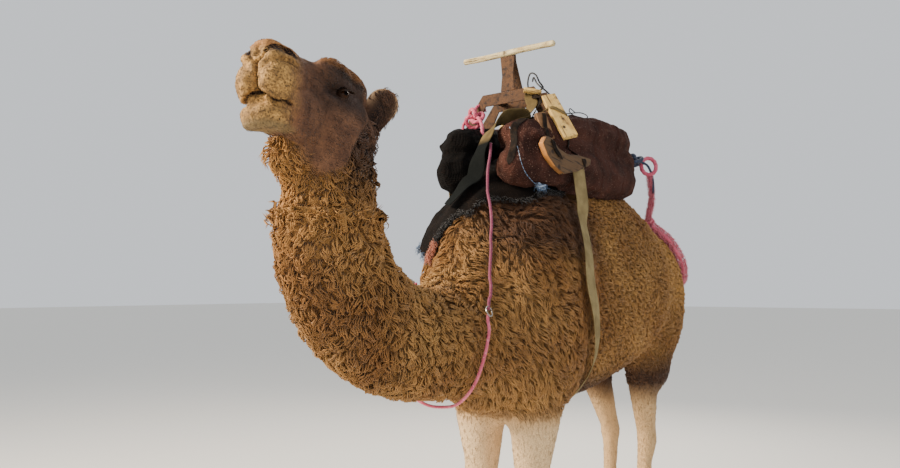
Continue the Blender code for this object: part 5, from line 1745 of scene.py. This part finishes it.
def make_small_parts(wire, pale, steel, thread, loose):
    """Binding wire, the wedge on the arch, the hook, and the thread tie on the front roll."""
    for i, (points, size) in enumerate(WIRES):
        added(f"binding_wire_{i + 1}", tube(spline(placed(points), 0.003),
                                            round_section(size, 8)), wire)
    line = np.linspace(*placed(((86, -2, 2152), (142, 32, 2140))), 12)
    chips = 1 + 0.06 * noise(line, 0.02, 31)[:, None, None]
    wedge = tube(line, flat_outline(0.030, 0.018, 5) * chips,
                 np.broadcast_to((0.0, 0.0, 1.0), line.shape))
    added("wedge_wood", wedge, pale)
    finished("breast_hook", eased("breast_clip", 0.0004), steel, "breast_clip")
    centre = placed((205, -98, 1770))
    added("thread_tie", wound(centre, (0.012, 0.028, 0.012), 0.0030), thread)
    tie = centre + np.linspace((0, -0.030, 0), (0, 0.034, 0), 12)
    fluff("thread_tie_ends", tie, 0.003, 160, 0.024, 0.0014, loose)


WIRES = (
    # points and radius of the covered wire that binds the boards to the arches
    (((88, 30, 2160), (90, 24, 2190), (104, 18, 2216), (126, 18, 2208), (138, 24, 2180),
      (140, 50, 2165), (120, 60, 2160)), 0.0032),
    (((96, 50, 2196), (122, 12, 2196), (150, -10, 2160), (182, 4, 2128), (196, 40, 2100)), 0.0032),
    (((150, 150, 2082), (168, 205, 2094), (190, 262, 2106), (208, 288, 2098), (200, 300, 2090),
      (176, 262, 2092), (166, 222, 2104), (180, 196, 2110), (196, 206, 2094)), 0.0020),
)


def make_nails(material):
    """Each nail's solid, evened out and rounded."""
    for leg in LEGS:
        for place in ("outer", "inner"):
            node = f"nail_{leg}_{place}"
            mesh = remeshed(flesh_mesh((node,), 0.0010), 0.0022)
            set_points(mesh, evened(points_of(mesh), edges_of(mesh), 6))
            finished(node + "_horn", mesh, material, node)


def make_gear():
    pink = fibre_rope("pink_fibre_rope", "#B43A55", "#E0708A", "#EDA7AE")
    # the pink rope in darker colours, as painted shade of the saddle on the upper breast rope
    pink_in_shade = fibre_rope("pink_rope_painted_shade", "#6A1C3C", "#8F2E50", "#B0607A")
    navy = fibre_rope("navy_fibre_rope", "#141C30", "#2C3C5C", "#C9CCD2")
    thread = fibre_rope("blue_white_thread", "#5B7FA6", "#C6D2DE", "#F2F4F5")
    # the frayed black wool of the cloth's near hem is nearly black as painted shade
    frayed_pink, frayed_trim, blue_thread, frayed_black = (
        loose_fibre(name, dark, light, Roughness=0.8, Sheen_Weight=0.3, Specular_IOR_Level=0.1)
        for name, dark, light in (("frayed_pink_fibre", "#C24A62", "#EE93A0"),
                                  ("frayed_trim", "#B5654A", "#E59A7C"),
                                  ("blue_thread_ends", "#1E2C44", "#5A7EA8"),
                                  ("frayed_black_wool", "#070605", "#17110E")))
    # the olive band is painted nearly black below 1.935 m as shade
    olive = webbing("olive_webbing", "#57492F", "#7C6A46", 0.0045, 0.0040, 1.935)
    khaki = webbing("khaki_webbing", "#7A6A48", "#A39267", 0.0060, 0.0040)
    pale = weathered_wood("weathered_pine", "#D6B266", "#B28A48", "#6A4E2C")
    pole = weathered_wood("weathered_pole", "#D3C294", "#A98F60", "#5F4C2E")
    brown = weathered_wood("weathered_beam", "#85603C", "#5F3F22", "#3A2615")
    # the paddles: brown wood painted lighter on the faces turned towards the light
    wear_and_light = weathered_wood("beam_painted_light", "#584026", "#463019", "#2C1D10", "#B97B3C")
    maroon = coarse_cloth("maroon_sacking", "#33201B", "#52332A", "#8E7264", 0.0060, True)
    # the cloth's own black, made nearly black all over as painted shade under the saddle
    black = coarse_cloth("black_saddle_cloth", "#0B0908", "#1B1410", "#382B22", 0.0050)
    pads = make_pads(maroon, thread)
    cloth = make_cloth(black, frayed_trim, blue_thread, frayed_black)
    make_irons(rusty_iron())
    make_boards(pale, brown, wear_and_light)
    make_grip(pole)
    make_ropes(pink, pink_in_shade, navy, frayed_pink)
    make_straps(olive, khaki, dark_leather(), pads)
    make_small_parts(black_wire(), pale, worn_steel(), thread, blue_thread)
    make_nails(horn_material())
    return Trees(pads, cloth)


# -------------------------------------------------------- floor, light, camera

def make_stage():
    """A pale matt floor, a pale sky all round, and soft lamps: key, fill and rim."""
    corners = np.array([(-60, -60, 0), (60, -60, 0), (60, 60, 0), (-60, 60, 0)], float)
    material, _ = shader("matt_floor_paint", "#E4E1DA", Roughness=0.9)
    floor = mesh_from(corners - (0, 0, 0.0005), np.array([(0, 1, 2, 3)]))
    object_from("floor", floor, material)
    world = bpy.data.worlds.new("studio")
    bpy.context.scene.world = world
    world.use_nodes = True
    sky = world.node_tree.nodes["Background"]
    sky.inputs["Color"].default_value = linear("#E9EDF2")
    sky.inputs["Strength"].default_value = 1.0
    for name, place, size, power, color in (
            ("key", (-3.4, -4.4, 4.2), 1.8, 900, "#FFEFD8"),
            ("fill", (4.2, -3.6, 2.4), 3.2, 60, "#F4F6FF"),
            ("rim", (-1.5, 4.5, 4.0), 2.5, 200, "#FFF4E4")):
        light = bpy.data.lights.new(name, "AREA")
        light.size = size
        light.energy = power
        light.color = linear(color)[:3]
        lamp = bpy.data.objects.new(name, light)
        bpy.context.scene.collection.objects.link(lamp)
        lamp.location = place
        aim = Vector((0, -0.3, 1.3)) - lamp.location
        lamp.rotation_euler = aim.to_track_quat("-Z", "Y").to_euler()


def make_camera():
    """A 28 mm view from the left front, a little below the head, tilted up."""
    data = bpy.data.cameras.new("camera")
    data.lens = 28.0
    data.sensor_width = 36.0
    camera = bpy.data.objects.new("camera", data)
    bpy.context.scene.collection.objects.link(camera)
    camera.location = placed((1324, -2247, 1410))
    camera.rotation_euler = (math.radians(90 + 4.6), 0, math.radians(35))
    bpy.context.scene.camera = camera


def make_animal(gear):
    hair = loose_fibre("lash_hair", "#1A110B", "#3A281A", Roughness=0.45)
    skin = added("skin", skin_surface(), skin_material())
    skin.data.shade_smooth()
    unwrapped(skin)
    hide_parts("head", *BODY_FLESH, "ear_left", "ear_right")
    surface = Skin(skin.data)
    wool = wool_material()
    straps = tree_of("girth_strap", "crupper_band", "breast_band", "breast_rope_upper",
                     "breast_rope_lower", "breast_clip")
    for name, chosen, spacing, style in (
            ("wool_long", long_wool, 0.0085, long_style),
            ("wool_tight", tight_wool, 0.0098, tight_style),
            ("fur_short", short_fur, 0.0120, short_style),
            ("fur_face", face_fur, 0.0053, face_style)):
        grow(surface, name, chosen, spacing, style, wool, gear, straps)
    make_tail_brush(surface, wool)
    make_eyes(eye_material(), hair)


make_camera()
make_stage()
make_animal(make_gear())
